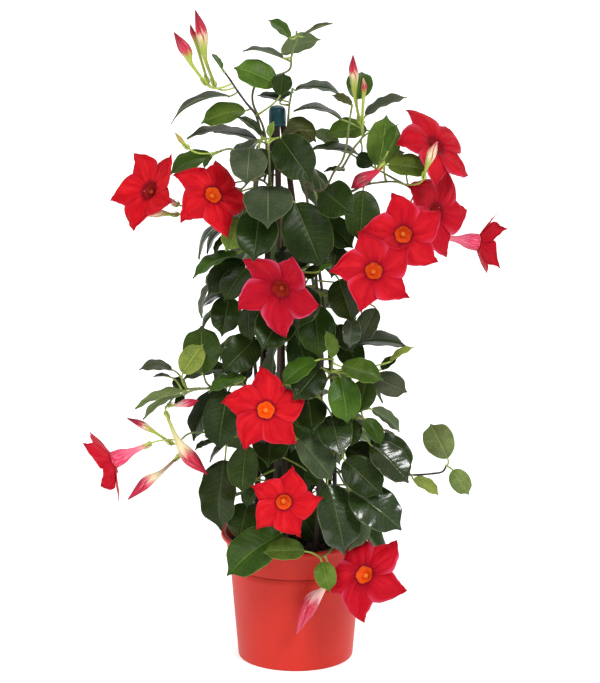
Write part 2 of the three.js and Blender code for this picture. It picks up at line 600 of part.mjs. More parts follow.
function addStem(vine, path, radii, sides = stem.fewSides) {
  stemSolids[vine].push(tube(path, radii, sides));
  const points = sampleAlong(path, 5);
  occupy(points);
  return points;
}

for (const name of vineNames) {
  const path = mainStem(vines[name]);
  const radii = path.map((_, i) => stem.foot + ((stem.tip - stem.foot) * i) / (path.length - 1));
  const points = addStem(name, path, radii, stem.sides);
  perches.push(...points.filter((p) => p.z > soil.top + 8).map((point) => ({ point, vine: name })));
}

const nearest = (place, choices) => choices.reduce((best, perch) =>
  (perch.point.distanceTo(place) < best.point.distanceTo(place) ? perch : best));

for (const shoot of shoots) {
  const path = shoot.map(at);
  const from = nearest(path[0], perches.filter(({ point }) => point.z < path[0].z + 5));
  const onwards = path.filter((p) => p.distanceTo(from.point) > 6);
  const points = addStem(from.vine, [from.point, ...onwards], stem.shoot);
  perches.push(...points.slice(1).map((point) => ({ point, vine: from.vine })));
}

// A flower stalk from the nearest perch, swelling into the calyx that holds the corolla's foot.
function addFlowerStalk(foot, way, calyx) {
  const from = nearest(along(foot, way, -14), perches);
  const reach = from.point.distanceTo(foot);
  const knee = along(foot, way, -Math.min(14, 0.5 * reach));
  const end = along(foot, way, -seat);
  const bend = new THREE.QuadraticBezierCurve3(from.point, knee, end);
  const path = [0, 0.35, 0.7, 1].map((t) => bend.getPoint(t));
  path.splice(3, 0, along(end, way, -3));
  addStem(from.vine, path, [0.9, 0.9, 0.9, 1.1, calyx]);
}

const bloomFrames = blooms.map(bloomFrame);
for (const frame of bloomFrames) {
  addFlowerStalk(along(frame.throat, frame.way, -flower.tube), frame.way, 2.6);
}
for (const row of Object.values(buds)) {
  const [foot, neck] = budPath(row);
  addFlowerStalk(foot, neck.clone().sub(foot).normalize(), 1.8);
}

for (const frame of bloomFrames) {
  for (const share of [0.25, 0.42, 0.6, 0.78, 0.95]) {
    const count = Math.round(30 * share) + 4;
    for (let i = 0; i < count; i++) {
      const angle = (2 * Math.PI * i) / count;
      const radius = frame.radius * share;
      const base = along(frame.throat, frame.way, frame.forward * share * share);
      const spoke = along(base, frame.side, radius * Math.cos(angle));
      occupy([along(spoke, frame.other, radius * Math.sin(angle))]);
    }
  }
  const back = along(frame.throat, frame.way, -flower.tube);
  occupy(sampleAlong([back, frame.throat], 4));
  occupy(ring(along(frame.throat, frame.way, -10), frame.way, frame.side, frame.other, 6, 6));
}
for (const row of Object.values(buds)) occupy(sampleAlong(budPath(row), 4));
for (const ends of caneEnds) occupy(sampleAlong(ends, 5));
occupy(sampleAlong([cap.height - 12, cap.height].map((z) => new THREE.Vector3(cap.across, 0, z)), 4)
  .flatMap((p) => ring(p, null, acrossAxis, new THREE.Vector3(0, 1, 0), cap.radius - 1, 8)));

const slides = [0, 4, -4, 8, -8, 12, 16, -12, 20, 24, 28, 32, 36, 40];
const frontMoves = slides.flatMap((back) => [[back, 0], [back, 5], [back, -5]]);
const backMoves = [[0, 0], [5, 0], [10, 0], [15, 0]];
const innerMoves = [[0, 0], [5, 0], [10, 0], [-5, 0], [0, 8], [5, 8], [0, -8]];
const leaves = leafRows.map((row) => settle(frontLeaf(row), frontMoves, leafGaps));
const draw = seededDraw(43);
for (let i = 0; i < backLeaves.count; i++) {
  leaves.push(settle(backLeaf(i, draw), backMoves, leafGaps.slice(0, 1)));
}
for (let i = 0; i < innerLeaves.count; i++) leaves.push(settle(innerLeaf(i, draw), innerMoves, leafGaps));

const vineSolids = vineNames.map((name) => {
  const own = leaves.filter((leaf) => leaf?.vine === name).map(makeLeaf);
  return [name, fuse([...stemSolids[name], ...own])];
});

// ---- soil ---------------------------------------------------------------------------------------

// Fills the pot to a lumpy top, with a plain hole for each vine and each cane.
function makeSoil() {
  const wallAt = (z) => outerRadius(z) - pot.wall - seat;
  const low = pot.floor + seat;
  const shares = [0.84, 0.58, 0.3];
  const upper = [...shares.map((share) => [share * wallAt(soil.top), soil.top]), [0, soil.top]];
  const bandWall = (z) => outerRadius(pot.bandHeight) - pot.wall - seat
    + ((pot.flareRadius - outerRadius(pot.bandHeight)) * (z - pot.bandHeight))
      / (pot.height - pot.lipHeight - pot.bandHeight);
  const geometry = turned([
    [0, low], [wallAt(low), low], [wallAt(pot.bandHeight), pot.bandHeight],
    [bandWall(soil.top - 3), soil.top - 3], ...upper,
  ], pot.sides);
  const position = geometry.attributes.position;
  for (let i = 0; i < position.count; i++) {
    const [x, y, z] = [position.getX(i), position.getY(i), position.getZ(i)];
    if (z < soil.top - 1) continue;
    const waves = Math.sin(x * 0.21 + 1) * Math.cos(y * 0.17) + 0.4 * Math.sin(x * 0.11 - y * 0.29);
    position.setZ(i, z + soil.lump * waves);
  }
  const holes = caneEnds.map((ends) => {
    const way = ends[1].clone().sub(ends[0]).normalize();
    return tube([along(ends[0], way, -seat), along(ends[0], way, 60)], cane.radius + seat, cane.sides);
  });
  for (const name of vineNames) {
    const path = mainStem(vines[name]).slice(0, 3);
    const way = path[1].clone().sub(path[0]).normalize();
    path[0] = along(path[0], way, -seat);
    holes.push(tube(path, stem.foot + 0.6, 7));
  }
  return holes.reduce((whole, hole) => whole.subtract(hole), solid(geometry));
}

// ---- the scene graph ----------------------------------------------------------------------------

const materials = {
  pot: new THREE.MeshStandardMaterial({ color: 0xd23e30, roughness: 0.5, metalness: 0 }),
  soil: new THREE.MeshStandardMaterial({ color: 0x1c1512, roughness: 0.95, metalness: 0 }),
  cane: new THREE.MeshStandardMaterial({ color: 0x241813, roughness: 0.7, metalness: 0 }),
  cap: new THREE.MeshStandardMaterial({ color: 0x104a50, roughness: 0.4, metalness: 0 }),
  leaf: new THREE.MeshStandardMaterial({ color: 0x2f4a1e, roughness: 0.35, metalness: 0 }),
  petal: new THREE.MeshStandardMaterial({ color: 0xe01a24, roughness: 0.55, metalness: 0 }),
  bud: new THREE.MeshStandardMaterial({ color: 0xd84a60, roughness: 0.5, metalness: 0 }),
};

function meshOf(name, body, material) {
  const mesh = body.getMesh();
  const geometry = new THREE.BufferGeometry();
  geometry.setAttribute('position', new THREE.BufferAttribute(new Float32Array(mesh.vertProperties), 3));
  geometry.setIndex(new THREE.BufferAttribute(new Uint32Array(mesh.triVerts), 1));
  const part = new THREE.Mesh(geometry, material);
  part.name = name;
  return part;
}

const group = new THREE.Group();
group.add(meshOf('pot', makePot(), materials.pot));
group.add(meshOf('soil', makeSoil(), materials.soil));
caneEnds.forEach((ends, i) => group.add(meshOf(`cane_${i + 1}`, caneSolid(ends, 0), materials.cane)));
group.add(meshOf('cane_cap', makeCap(), materials.cap));
for (const [name, body] of vineSolids) group.add(meshOf(name, body, materials.leaf));
bloomFrames.forEach((frame, i) => group.add(meshOf(`bloom_${i + 1}`, makeBloom(frame), materials.petal)));
for (const [name, row] of Object.entries(buds)) group.add(meshOf(name, makeBud(row), materials.bud));

export default group;
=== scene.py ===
import math

import bmesh
import bpy
import numpy as np
from mathutils import Matrix


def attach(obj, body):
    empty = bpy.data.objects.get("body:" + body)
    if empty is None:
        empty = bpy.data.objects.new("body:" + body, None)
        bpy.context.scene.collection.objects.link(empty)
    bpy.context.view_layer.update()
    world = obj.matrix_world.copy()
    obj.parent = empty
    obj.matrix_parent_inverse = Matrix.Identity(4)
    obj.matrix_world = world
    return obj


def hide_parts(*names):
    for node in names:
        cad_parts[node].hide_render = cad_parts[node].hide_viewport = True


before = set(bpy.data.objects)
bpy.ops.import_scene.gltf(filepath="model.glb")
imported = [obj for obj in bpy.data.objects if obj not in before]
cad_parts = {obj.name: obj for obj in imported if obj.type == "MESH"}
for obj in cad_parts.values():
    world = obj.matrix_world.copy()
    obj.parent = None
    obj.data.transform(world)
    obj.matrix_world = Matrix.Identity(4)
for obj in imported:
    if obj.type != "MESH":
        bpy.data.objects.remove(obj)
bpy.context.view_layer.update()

# ---- pot ----------------------------------------------------------------------------------------
# A thin-walled nursery pot, moulded in one piece from orange-red plastic: a rounded foot, a fine
# step where the upper band starts and a rolled lip. Six drain holes go through its floor.

MM = 0.001
WELD, SLIVER = 1e-6, 1e-7      # metres: points are welded and edges dropped under these lengths
MOTTLE_DETAIL = 4.0
POT_HEIGHT, POT_BASE, POT_BAND, POT_BAND_Z = 131.0, 57.5, 66.0, 100.0
POT_FLARE, POT_LIP, POT_LIP_Z, POT_WALL, POT_FLOOR = 70.5, 75.0, 126.0, 2.2, 2.6
POT_SIDES, POT_GROOVE_Z = 160, 99.5
DRAINS, DRAIN_CIRCLE, DRAIN_RADIUS = 6, 36.0, 4.5


def turns(count):
    """So many bearings in equal steps round a full turn, in radians."""
    return np.linspace(0, 2 * np.pi, count, endpoint=False)


def skin(points, uv=None, slot=0, **marks):
    """One closed skin: rows of rings of points, in millimetres, whose first and last rings shrink to
    a point or fold to a line. Marks are numbers or arrays that the material reads from the surface."""
    rows, ring = points.shape[:2]
    if uv is None:
        u, v = np.mgrid[:rows, :ring + 1]
        uv = np.stack([u / (rows - 1), v / ring], -1)
    return points, uv, slot, marks


def piece(name, skins, *materials):
    """One mesh object from closed skins. Each grid of points becomes quads, turned so that the volume
    they enclose is positive, and points that meet are welded."""
    corners, corner_uv, slots, start = [], [], [], 0
    for points, uv, slot, _ in skins:
        rows, ring = points.shape[:2]
        i, j = np.mgrid[:rows - 1, :ring]
        k = (j + 1) % ring
        quads = np.stack([i * ring + j, i * ring + k, (i + 1) * ring + k, (i + 1) * ring + j], -1)
        quad_uv = np.stack([uv[i, j], uv[i, j + 1], uv[i + 1, j + 1], uv[i + 1, j]], 2)
        a, b, c, d = np.moveaxis(points.reshape(-1, 3)[quads], 2, 0)
        if (a * np.cross(b, c) + a * np.cross(c, d)).sum() < 0:
            quads, quad_uv = quads[..., ::-1], quad_uv[..., ::-1, :]
        corners.append(quads.reshape(-1, 4) + start)
        corner_uv.append(quad_uv.reshape(-1, 4, 2))
        slots.append(np.full(len(corners[-1]), slot))
        start += rows * ring
    places = np.concatenate([points.reshape(-1, 3) for points, *_ in skins]) * MM
    quads, quad_uv, slots = map(np.concatenate, (corners, corner_uv, slots))
    mesh = bpy.data.meshes.new(name)
    mesh.vertices.add(len(places))
    mesh.loops.add(quads.size)
    mesh.polygons.add(len(quads))
    for owner, label, kind, values in (
            (mesh.vertices, "co", np.float32, places), (mesh.loops, "vertex_index", np.int32, quads),
            (mesh.polygons, "loop_start", np.int32, np.arange(0, quads.size, 4)),
            (mesh.polygons, "material_index", np.int32, slots),
            (mesh.polygons, "use_smooth", bool, np.ones(len(quads)))):
        owner.foreach_set(label, values.astype(kind).ravel())
    mesh.uv_layers.new(name="surface").data.foreach_set("uv", quad_uv.astype(np.float32).ravel())
    for mark, first in skins[0][3].items():
        wide = np.size(first) > 1 and np.shape(first)[-1] == 4
        values = [np.broadcast_to(marks[mark], points.shape[:2] + ((4,) if wide else ()))
                  .reshape(points.shape[0] * points.shape[1], -1) for points, _, _, marks in skins]
        layer = mesh.attributes.new(mark, "FLOAT_COLOR" if wide else "FLOAT", "POINT")
        numbers = np.concatenate(values).astype(np.float32).ravel()
        layer.data.foreach_set("color" if wide else "value", numbers)
    mesh.update(calc_edges=True)
    welded = bmesh.new()
    welded.from_mesh(mesh)
    bmesh.ops.remove_doubles(welded, verts=welded.verts, dist=WELD)
    bmesh.ops.dissolve_degenerate(welded, edges=welded.edges, dist=SLIVER)
    welded.to_mesh(mesh)
    welded.free()
    made = bpy.data.objects.new(name, mesh)
    bpy.context.scene.collection.objects.link(made)
    for material in materials:
        mesh.materials.append(material)
    return made


def turned(profile, sides, about=(0.0, 0.0)):
    """A surface of revolution: each profile point (radius, height) carried round the upright axis."""
    radius, height = np.array(profile, float).T
    angle = turns(sides)
    return np.stack([about[0] + radius[:, None] * np.cos(angle), about[1] + radius[:, None] * np.sin(angle),
                     np.repeat(height[:, None], sides, 1)], -1)


def wire(value, socket):
    """Links an output to a socket, or sets the socket to a plain value or an opaque colour."""
    if isinstance(value, bpy.types.NodeSocket):
        socket.id_data.links.new(value, socket)
    else:
        socket.default_value = (*value, 1) if socket.type == "RGBA" else value


def node(kind, *values, places=None):
    """A new shader node in the tree of the first socket among the values. They go to its first inputs,
    or to those whose places are given."""
    tree = next(value for value in values if isinstance(value, bpy.types.NodeSocket)).id_data
    made = tree.nodes.new("ShaderNode" + kind)
    for place, value in zip(places or range(len(values)), values):
        wire(value, made.inputs[place])
    return made


def calc(operation, *values, clamp=False):
    made = node("Math", *values)
    made.operation, made.use_clamp = operation, clamp
    return made.outputs[0]


def product(value, *factors):
    for factor in factors:
        value = calc("MULTIPLY", value, factor)
    return value


def linear(value, slope, start):
    return calc("MULTIPLY_ADD", value, slope, start)


def rising(value, low, high):
    """From 0 at the low value to 1 at the high one, along a smooth step."""
    made = node("MapRange", value, low, high, 0.0, 1.0)
    made.interpolation_type = "SMOOTHSTEP"
    return made.outputs[0]


def falling(value, low, high):
    """From 1 at the low value to 0 at the high one."""
    return calc("SUBTRACT", 1.0, rising(value, low, high))


def mixed(share, first, second, blend="MIX"):
    made = node("Mix", share, first, second, places=(0, 6, 7))
    made.data_type, made.blend_type = "RGBA", blend
    return made.outputs[2]


def coated(colour, *coats):
    """A colour under coats, each of them a share and the colour that covers by it."""
    for share, coat in coats:
        colour = mixed(share, colour, coat)
    return colour


def colour_ramp(share, *stops):
    made = node("ValToRGB", share)
    elements = made.color_ramp.elements
    while len(elements) < len(stops):
        elements.new(0.5)
    for element, (place, colour) in zip(elements, stops):
        element.position, element.color = place, (*colour, 1)
    return made.outputs[0]


def noise(coordinates, scale, detail=3.0, roughness=0.55, stretch=(1, 1, 1)):
    mapped = node("Mapping", coordinates, stretch, places=("Vector", "Scale")).outputs[0]
    return node("TexNoise", mapped, scale, detail, roughness,
                places=("Vector", "Scale", "Detail", "Roughness")).outputs[0]


def fill(shader, **values):
    """Gives the shader's inputs their values or links. An underscore stands for a space."""
    for label, value in values.items():
        wire(value, shader.inputs[label.replace("_", " ")])


def finish_of(name, **constants):
    """A new material with one Principled shader, and the coordinates that its patterns read."""
    material = bpy.data.materials.new(name)
    material.use_nodes = True
    shader = material.node_tree.nodes["Principled BSDF"]
    fill(shader, **constants)
    source = material.node_tree.nodes.new("ShaderNodeTexCoord")
    return material, shader, source.outputs["Object"], source.outputs["UV"]


def relief(height, depth):
    """Bump: the height, 0 to 1, stands out by so many millimetres."""
    return node("Bump", height, depth * MM, places=("Height", "Distance")).outputs[0]


def mottle_group():
    """Soft patches and fine grain in one mask: two noises, a broad one and a fine one, laid over each
    other in the share that Grain gives."""
    group = bpy.data.node_groups.new("mottle", "ShaderNodeTree")
    for label, kind in (("Vector", "Vector"), ("Patch", "Float"), ("Speck", "Float"), ("Grain", "Float")):
        group.interface.new_socket(label, in_out="INPUT", socket_type="NodeSocket" + kind)
    group.interface.new_socket("Mask", in_out="OUTPUT", socket_type="NodeSocketFloat")
    inside, outside = group.nodes.new("NodeGroupInput"), group.nodes.new("NodeGroupOutput")
    broad, fine = [node("TexNoise", inside.outputs["Vector"], inside.outputs[label], MOTTLE_DETAIL,
                        places=("Vector", "Scale", "Detail")).outputs[0] for label in ("Patch", "Speck")]
    wire(linear(calc("SUBTRACT", fine, broad), inside.outputs["Grain"], broad), outside.inputs[0])
    return group


MOTTLE = mottle_group()


def mottle(coordinates, patch, speck, grain):
    made = coordinates.id_data.nodes.new("ShaderNodeGroup")
    made.node_tree = MOTTLE
    for value, socket in zip((coordinates, patch, speck, grain), made.inputs):
        wire(value, socket)
    return made.outputs[0]


def outer_radius(z):
    """The pot's outside under its band, a straight taper."""
    return POT_BASE + (POT_BAND - POT_BASE) * z / POT_BAND_Z


def pot_plastic():
    material, shader, place, _ = finish_of(
        "orange-red pot plastic", IOR=1.48, Specular_IOR_Level=0.22, Subsurface_Weight=0.04,
        Subsurface_Scale=0.004, Subsurface_Radius=(1.0, 0.3, 0.15))
    patches = mottle(place, 14.0, 260.0, 0.35)
    scuffed = rising(noise(place, 30.0, 2.0, 0.5, (1, 1, 0.08)), 0.62, 0.74)
    height = node("SeparateXYZ", place).outputs[2]
    # Painted shade: a dark line in the step where the upper band starts, as if the step's own shadow lay in
    # it. The foot is darker with dirt.
    from_step = calc("ABSOLUTE", calc("SUBTRACT", height, POT_GROOVE_Z * MM))
    step_shade = falling(from_step, 0.4 * MM, 1.3 * MM)
    foot_dirt_and_step_shade = linear(falling(height, 0.0, 3.0 * MM), 0.35, product(step_shade, 0.6))
    colour = coated(colour_ramp(patches, (0.3, (0.46, 0.018, 0.009)), (0.7, (0.52, 0.024, 0.013))),
                    (product(scuffed, 0.16), (0.68, 0.14, 0.10)), (foot_dirt_and_step_shade, (0.20, 0.006, 0.005)))
    fill(shader, Base_Color=colour, Roughness=linear(patches, 0.16, 0.36),
         Normal=relief(mottle(place, 900.0, 3000.0, 0.5), 0.05))
    return material


band = outer_radius(POT_BAND_Z)
pot_profile = [
    (0, 0), (30, 0), (54.6, 0), (56, 0.1), (56.9, 0.5), (57.4, 1.1), (outer_radius(2), 2),
    *[(outer_radius(z), z) for z in np.linspace(8, 98.8, 14)],
    (band - 0.6, 99.2), (band - 0.6, 99.8), (band + 0.5, 100.1), (band + 0.85, 100.5), (band + 0.9, 101.5),
    *[(np.interp(z, (101, POT_LIP_Z), (band + 0.9, POT_FLARE)), z) for z in np.linspace(104, 125.4, 6)],
    (POT_FLARE + 0.3, 125.9), (POT_FLARE + 1.2, POT_LIP_Z), (POT_LIP - 1.2, POT_LIP_Z),
    (POT_LIP - 0.4, 126.3), (POT_LIP, 127.1), (POT_LIP, 129.5), (POT_LIP - 0.4, 130.5),
    (POT_LIP - 1.3, POT_HEIGHT), (POT_FLARE + 1.2, POT_HEIGHT), (POT_FLARE + 0.2, 130.7),
    (POT_FLARE - 0.5, 130.0), (POT_FLARE - POT_WALL, POT_LIP_Z),
    (band - POT_WALL, POT_BAND_Z), (outer_radius(POT_FLOOR) - POT_WALL, POT_FLOOR + 1),
    (outer_radius(POT_FLOOR) - POT_WALL - 1, POT_FLOOR), (30, POT_FLOOR), (0, POT_FLOOR)]
pot = piece("pot_shell", [skin(turned(pot_profile, POT_SIDES))], pot_plastic())
drill_angles = np.arange(DRAINS) * 2 * np.pi / DRAINS
drills = piece("drain_drills", [
    skin(turned([(0, -5), (DRAIN_RADIUS, -5), (DRAIN_RADIUS, 8), (0, 8)], 24,
                (DRAIN_CIRCLE * math.cos(angle), DRAIN_CIRCLE * math.sin(angle)))) for angle in drill_angles])
cut = pot.modifiers.new("drain holes", "BOOLEAN")
cut.object, cut.solver = drills, "EXACT"
drilled = bpy.data.meshes.new_from_object(pot.evaluated_get(bpy.context.evaluated_depsgraph_get()))
pot.modifiers.clear()
pot.data = drilled
bpy.data.objects.remove(drills)
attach(pot, "root")
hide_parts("pot")

# ---- compost ------------------------------------------------------------------------------------
# Dark, moist bark-and-peat compost fills the pot to a finger's breadth under the lip. Its top is
# lumpy, and loose bark chips lie on it.

SOIL_TOP, SOIL_LUMP, SEAT = 118.0, 2.2, 0.3
CHIPS, CHIP_SIDES, CHIP_SPREAD = 340, 6, 62
CHIP_LEAST, CHIP_MOST = (1.2, 0.8, 0.5), (4.2, 2.2, 1.3)


def soil_lift(x, y):
    """Low waves of two wavelengths, crossing each other."""
    return SOIL_LUMP * (np.sin(x * 0.21 + 1) * np.cos(y * 0.17) + 0.4 * np.sin(x * 0.11 - y * 0.29))


def compost_finish():
    material, shader, place, _ = finish_of("moist compost", Roughness=0.92)
    lumps = mottle(place, 160.0, 700.0, 0.5)
    colour = colour_ramp(lumps, (0.35, (0.006, 0.004, 0.003)), (0.55, (0.016, 0.01, 0.007)),
                         (0.72, (0.045, 0.028, 0.018)))
    fill(shader, Base_Color=colour, Normal=relief(lumps, 2.4))
    return material


def chip_finish():
    material, shader, place, _ = finish_of("bark chips", Roughness=0.85)
    fibre = noise(place, 500.0, 4.0, 0.6, (1, 0.3, 1))
    colour = colour_ramp(fibre, (0.3, (0.012, 0.007, 0.005)), (0.6, (0.05, 0.028, 0.017)),
                         (0.8, (0.11, 0.07, 0.045)))
    fill(shader, Base_Color=colour, Normal=relief(fibre, 0.5))
    return material


def soil_wall(z):
    """The compost's radius: the pot's outside less its wall and the seat."""
    flare = (POT_FLARE - band) * max(z - POT_BAND_Z, 0) / (POT_LIP_Z - POT_BAND_Z)
    return outer_radius(min(z, POT_BAND_Z)) - POT_WALL - SEAT + flare


soil_low = POT_FLOOR + SEAT
body_rows = [(0, soil_low), (soil_wall(soil_low), soil_low), (soil_wall(60), 60),
             (soil_wall(POT_BAND_Z), POT_BAND_Z), (soil_wall(115) - 0.3, 115)]
top_rows = [(share * soil_wall(SOIL_TOP), SOIL_TOP) for share in np.linspace(0.99, 0, 60)]
soil_points = turned(body_rows + top_rows, 180)
rough = np.random.default_rng(4)
upper = soil_points[len(body_rows):]
upper[..., 2] += soil_lift(upper[..., 0], upper[..., 1])
upper[:-1, :, 2] += rough.normal(0, 0.5, upper[:-1].shape[:2])
chips, angle = [], turns(CHIP_SIDES)
rows = np.array([(0, -1), (0.8, -0.6), (1, 0.1), (0.7, 0.7), (0, 1)])
for _ in range(CHIPS):
    spot, turn = np.sqrt(rough.random()) * CHIP_SPREAD, rough.random() * 2 * np.pi
    x, y = spot * math.cos(turn), spot * math.sin(turn)
    size = rough.uniform(CHIP_LEAST, CHIP_MOST)
    knob = np.stack([rows[:, :1] * np.cos(angle), rows[:, :1] * np.sin(angle),
                     np.repeat(rows[:, 1:], CHIP_SIDES, 1)], -1)
    knob[1:-1] += rough.normal(0, 0.16, knob[1:-1].shape)
    axes = np.linalg.qr(rough.normal(size=(3, 3)) * (1, 1, 0.4))[0]
    chips.append(skin((knob * size) @ axes.T + (x, y, SOIL_TOP + soil_lift(x, y) + 0.6), slot=1))
soil = piece("compost", [skin(soil_points)] + chips, compost_finish(), chip_finish())
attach(soil, "root")
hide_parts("soil")

# ---- canes --------------------------------------------------------------------------------------
# Three thin split canes, stained dark brown, stand in the compost and lean together. Each has
# slightly swollen joints, and a long fibrous grain.

CANE_RADIUS, CANE_CIRCLE, CANE_TIP_CIRCLE, CANE_JOINT = 3.0, 48.0, 3.9, 118.0
CANE_BEARINGS = np.radians([-100, 25, 150])
CAP_ACROSS, CAP_TOP, SOIL_HOLE = -18.0, 571.0, 26.0


def unit(vectors):
    return vectors / np.linalg.norm(vectors, axis=-1, keepdims=True)


def tube(path, radii, sides, twist=0.0, flutes=0, depth=0.0):
    """A closed tube along a path: rings square to the path, whose side vectors come from one fixed
    direction that the path never follows. Flutes ripple the radius round the ring, and twist turns
    them along the path."""
    way = unit(np.gradient(path, axis=0))
    spread = np.linalg.eigh(way.T @ way)[1][:, 0]
    side = unit(np.cross(way, spread))
    other = np.cross(way, side)
    angle = turns(sides)
    along = np.linspace(0, 1, len(path))[:, None]
    radius = np.broadcast_to(radii, len(path))[:, None] * (1 + depth * np.cos(flutes * angle + twist * along))
    rings = path[:, None] + radius[..., None] * (np.cos(angle)[:, None] * side[:, None]
                                                 + np.sin(angle)[:, None] * other[:, None])
    ends = np.repeat(path[[0, -1], None], sides, 1)
    return np.concatenate([ends[:1], rings, ends[1:]])


def cane_finish():
    material, shader, place, _ = finish_of("stained cane", Roughness=0.62, Specular_IOR_Level=0.2)
    grain = noise(place, 260.0, 4.0, 0.6, (1, 1, 0.04))
    colour = colour_ramp(grain, (0.3, (0.012, 0.007, 0.004)), (0.62, (0.042, 0.022, 0.012)),
                         (0.8, (0.10, 0.055, 0.03)))
    fill(shader, Base_Color=colour, Normal=relief(grain, 0.35))
    return material


cane_material = cane_finish()
cane_ends = [np.array([(CANE_CIRCLE * math.cos(b), CANE_CIRCLE * math.sin(b), SOIL_TOP - SOIL_HOLE),
                       (CAP_ACROSS + CANE_TIP_CIRCLE * math.cos(b), CANE_TIP_CIRCLE * math.sin(b), CAP_TOP)])
             for b in CANE_BEARINGS]
for number, (foot, tip) in enumerate(cane_ends, 1):
    share = np.linspace(0, 1, 160)[:, None]
    height = share[:, 0] * np.linalg.norm(tip - foot)
    from_joint = (height + 37 * number) % CANE_JOINT - CANE_JOINT / 2
    swelling = 0.13 * np.exp(-(from_joint / 1.6) ** 2) * (height < 420)
    stick = tube(foot + (tip - foot) * share, CANE_RADIUS * (1 + swelling), 20)
    cane = piece(f"cane_{number}_stick", [skin(stick)], cane_material)
    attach(cane, "root")
    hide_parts(f"cane_{number}")

# ---- cane cap -----------------------------------------------------------------------------------
# A small dark teal cap of soft plastic, pushed over the three tips so that they stay together. It
# is turned to a blunt dome and has a fine seam near its mouth.

CAP_RADIUS, CAP_LENGTH = 8.8, 19.0


def cap_finish():
    material, shader, place, _ = finish_of("teal cap plastic", IOR=1.5, Specular_IOR_Level=0.3)
    patches = mottle(place, 90.0, 900.0, 0.4)
    colour = colour_ramp(patches, (0.3, (0.002, 0.028, 0.036)), (0.7, (0.004, 0.066, 0.08)))
    fill(shader, Base_Color=colour, Roughness=linear(patches, 0.2, 0.3), Normal=relief(patches, 0.12))
    return material


cap_low = CAP_TOP - CAP_LENGTH + 4
cap_profile = [(0, 0), (7.4, 0), (8.3, 0.3), (8.7, 0.9), (8.75, 2.2), (8.4, 2.5), (8.4, 2.9), (8.72, 3.2),
               (8.65, 7), (8.45, 13), (8.1, 15.4), (7.2, 17.2), (5.6, 18.3), (3.4, 18.9), (1.5, 19), (0, 19)]
cap = piece("cane_cap_dome", [skin(turned([(r, z + cap_low) for r, z in cap_profile], 64, (CAP_ACROSS, 0)))],
            cap_finish())
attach(cap, "root")
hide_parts("cane_cap")

# ---- vines --------------------------------------------------------------------------------------
# Six thin woody vines climb round the canes, and green side shoots spring from them. Places are
# across, up and towards: millimetres in a plane that leans back, and out to the front.

LEAN = math.radians(17.5)
STEM_FOOT, STEM_TIP, SHOOT_RADIUS, CROWN = 2.4, 1.3, 1.3, 563.0
VINES = {"vine_front_left": (-30, 500), "vine_front_right": (30, 505), "vine_right": (90, 480),
         "vine_back_right": (150, 520), "vine_back_left": (-150, 530), "vine_left": (-90, 520)}
SHOOTS = [
    # the leader above the cap, and the twig beside the cap
    [(-29, 504, 20), (-32, 527, 22), (-42, 550, 16), (-41, 566, 12), (-32, 576, 11), (-19, 578, 12),
     (-6, 584, 10), (-4, 596, 8), (-2, 605, 6), (1, 613, 5), (1, 622, 5)],
    [(-11, 500, 22), (-8, 526, 15), (-6, 549, 12), (-3, 565, 9)],
    # the left bud truss and its young tip
    [(-33, 516, 36), (-39, 538, 32), (-49, 551, 30), (-57, 562, 28), (-65, 574, 26), (-73, 585, 24),
     (-82, 598, 23)],
    # stalks of the two left blooms, the leaf above them, and a young tip in the middle
    [(-20, 460, 46), (-31, 473, 48), (-43, 475, 46), (-52, 467, 36), (-63, 456, 22), (-79, 449, 10),
     (-92, 447, 4)],
    [(-29, 490, 38), (-49, 499, 44), (-64, 505, 46), (-78, 502, 46)],
    [(-22, 452, 56), (-25, 478, 62), (-26, 498, 64), (-27, 510, 63)],
    # upper right: a leafy tip, the upright buds, the bloom truss and a leaf stalk
    [(27, 464, 54), (38, 482, 52), (46, 493, 48), (50, 506, 45), (52, 520, 42), (54, 536, 40), (56, 548, 37)],
    [(47, 488, 30), (57, 505, 26), (67, 518, 24), (67, 525, 24)],
    [(53, 463, 40), (67, 469, 38), (81, 472, 36), (99, 473, 26), (113, 468, 8), (124, 456, -12)],
    [(71, 470, 37), (79, 482, 40), (85, 494, 40)],
    # the low left truss
    [(-33, 260, 44), (-51, 271, 50), (-70, 270, 52), (-83, 268, 53), (-108, 267, 54), (-120, 260, 54),
     (-130, 248, 54)],
    [(-45, 228, 40), (-65, 225, 42), (-85, 224, 44), (-105, 223, 46), (-115, 216, 46)],
    [(-81, 268, 53), (-89, 274, 54), (-92, 284, 56)],
    # the lone shoot at the right, two short ones in front, and two over the pot's lip
    [(77, 182, 36), (100, 181, 38), (120, 181, 35), (135, 182, 28), (147, 184, 24), (151, 190, 23)],
    [(21, 260, 50), (31, 276, 72), (36, 287, 86), (37, 297, 92)],
    [(45, 222, 48), (55, 235, 60), (62, 244, 68), (73, 248, 70)],
    [(47, 136, 56), (41, 116, 70), (33, 104, 84), (25, 99, 88)],
    [(45, 135, 35), (62, 128, 45), (80, 108, 52), (86, 92, 50)]]
WOODY_SHOOTS = (2, 13)      # the left bud truss's and the lone one, whose bark is already dark


def at(place):
    """From across, up and towards to the plant's own axes: y is minus towards, and z is found so that
    the point is as high as up in the plane that leans back."""
    across, up, towards = np.moveaxis(np.asarray(place, float), -1, 0)
    return np.stack([across, -towards, (up + towards * math.sin(LEAN)) / math.cos(LEAN)], -1)


def spaced(path, spacing):
    """Points along a path of straight runs, each run cut into equal steps no longer than the spacing."""
    runs = []
    for start, end in zip(path[:-1], path[1:]):
        count = max(1, math.ceil(np.linalg.norm(end - start) / spacing))
        runs.append(start + (end - start) * (np.arange(1, count + 1) / count)[:, None])
    return np.concatenate(runs)


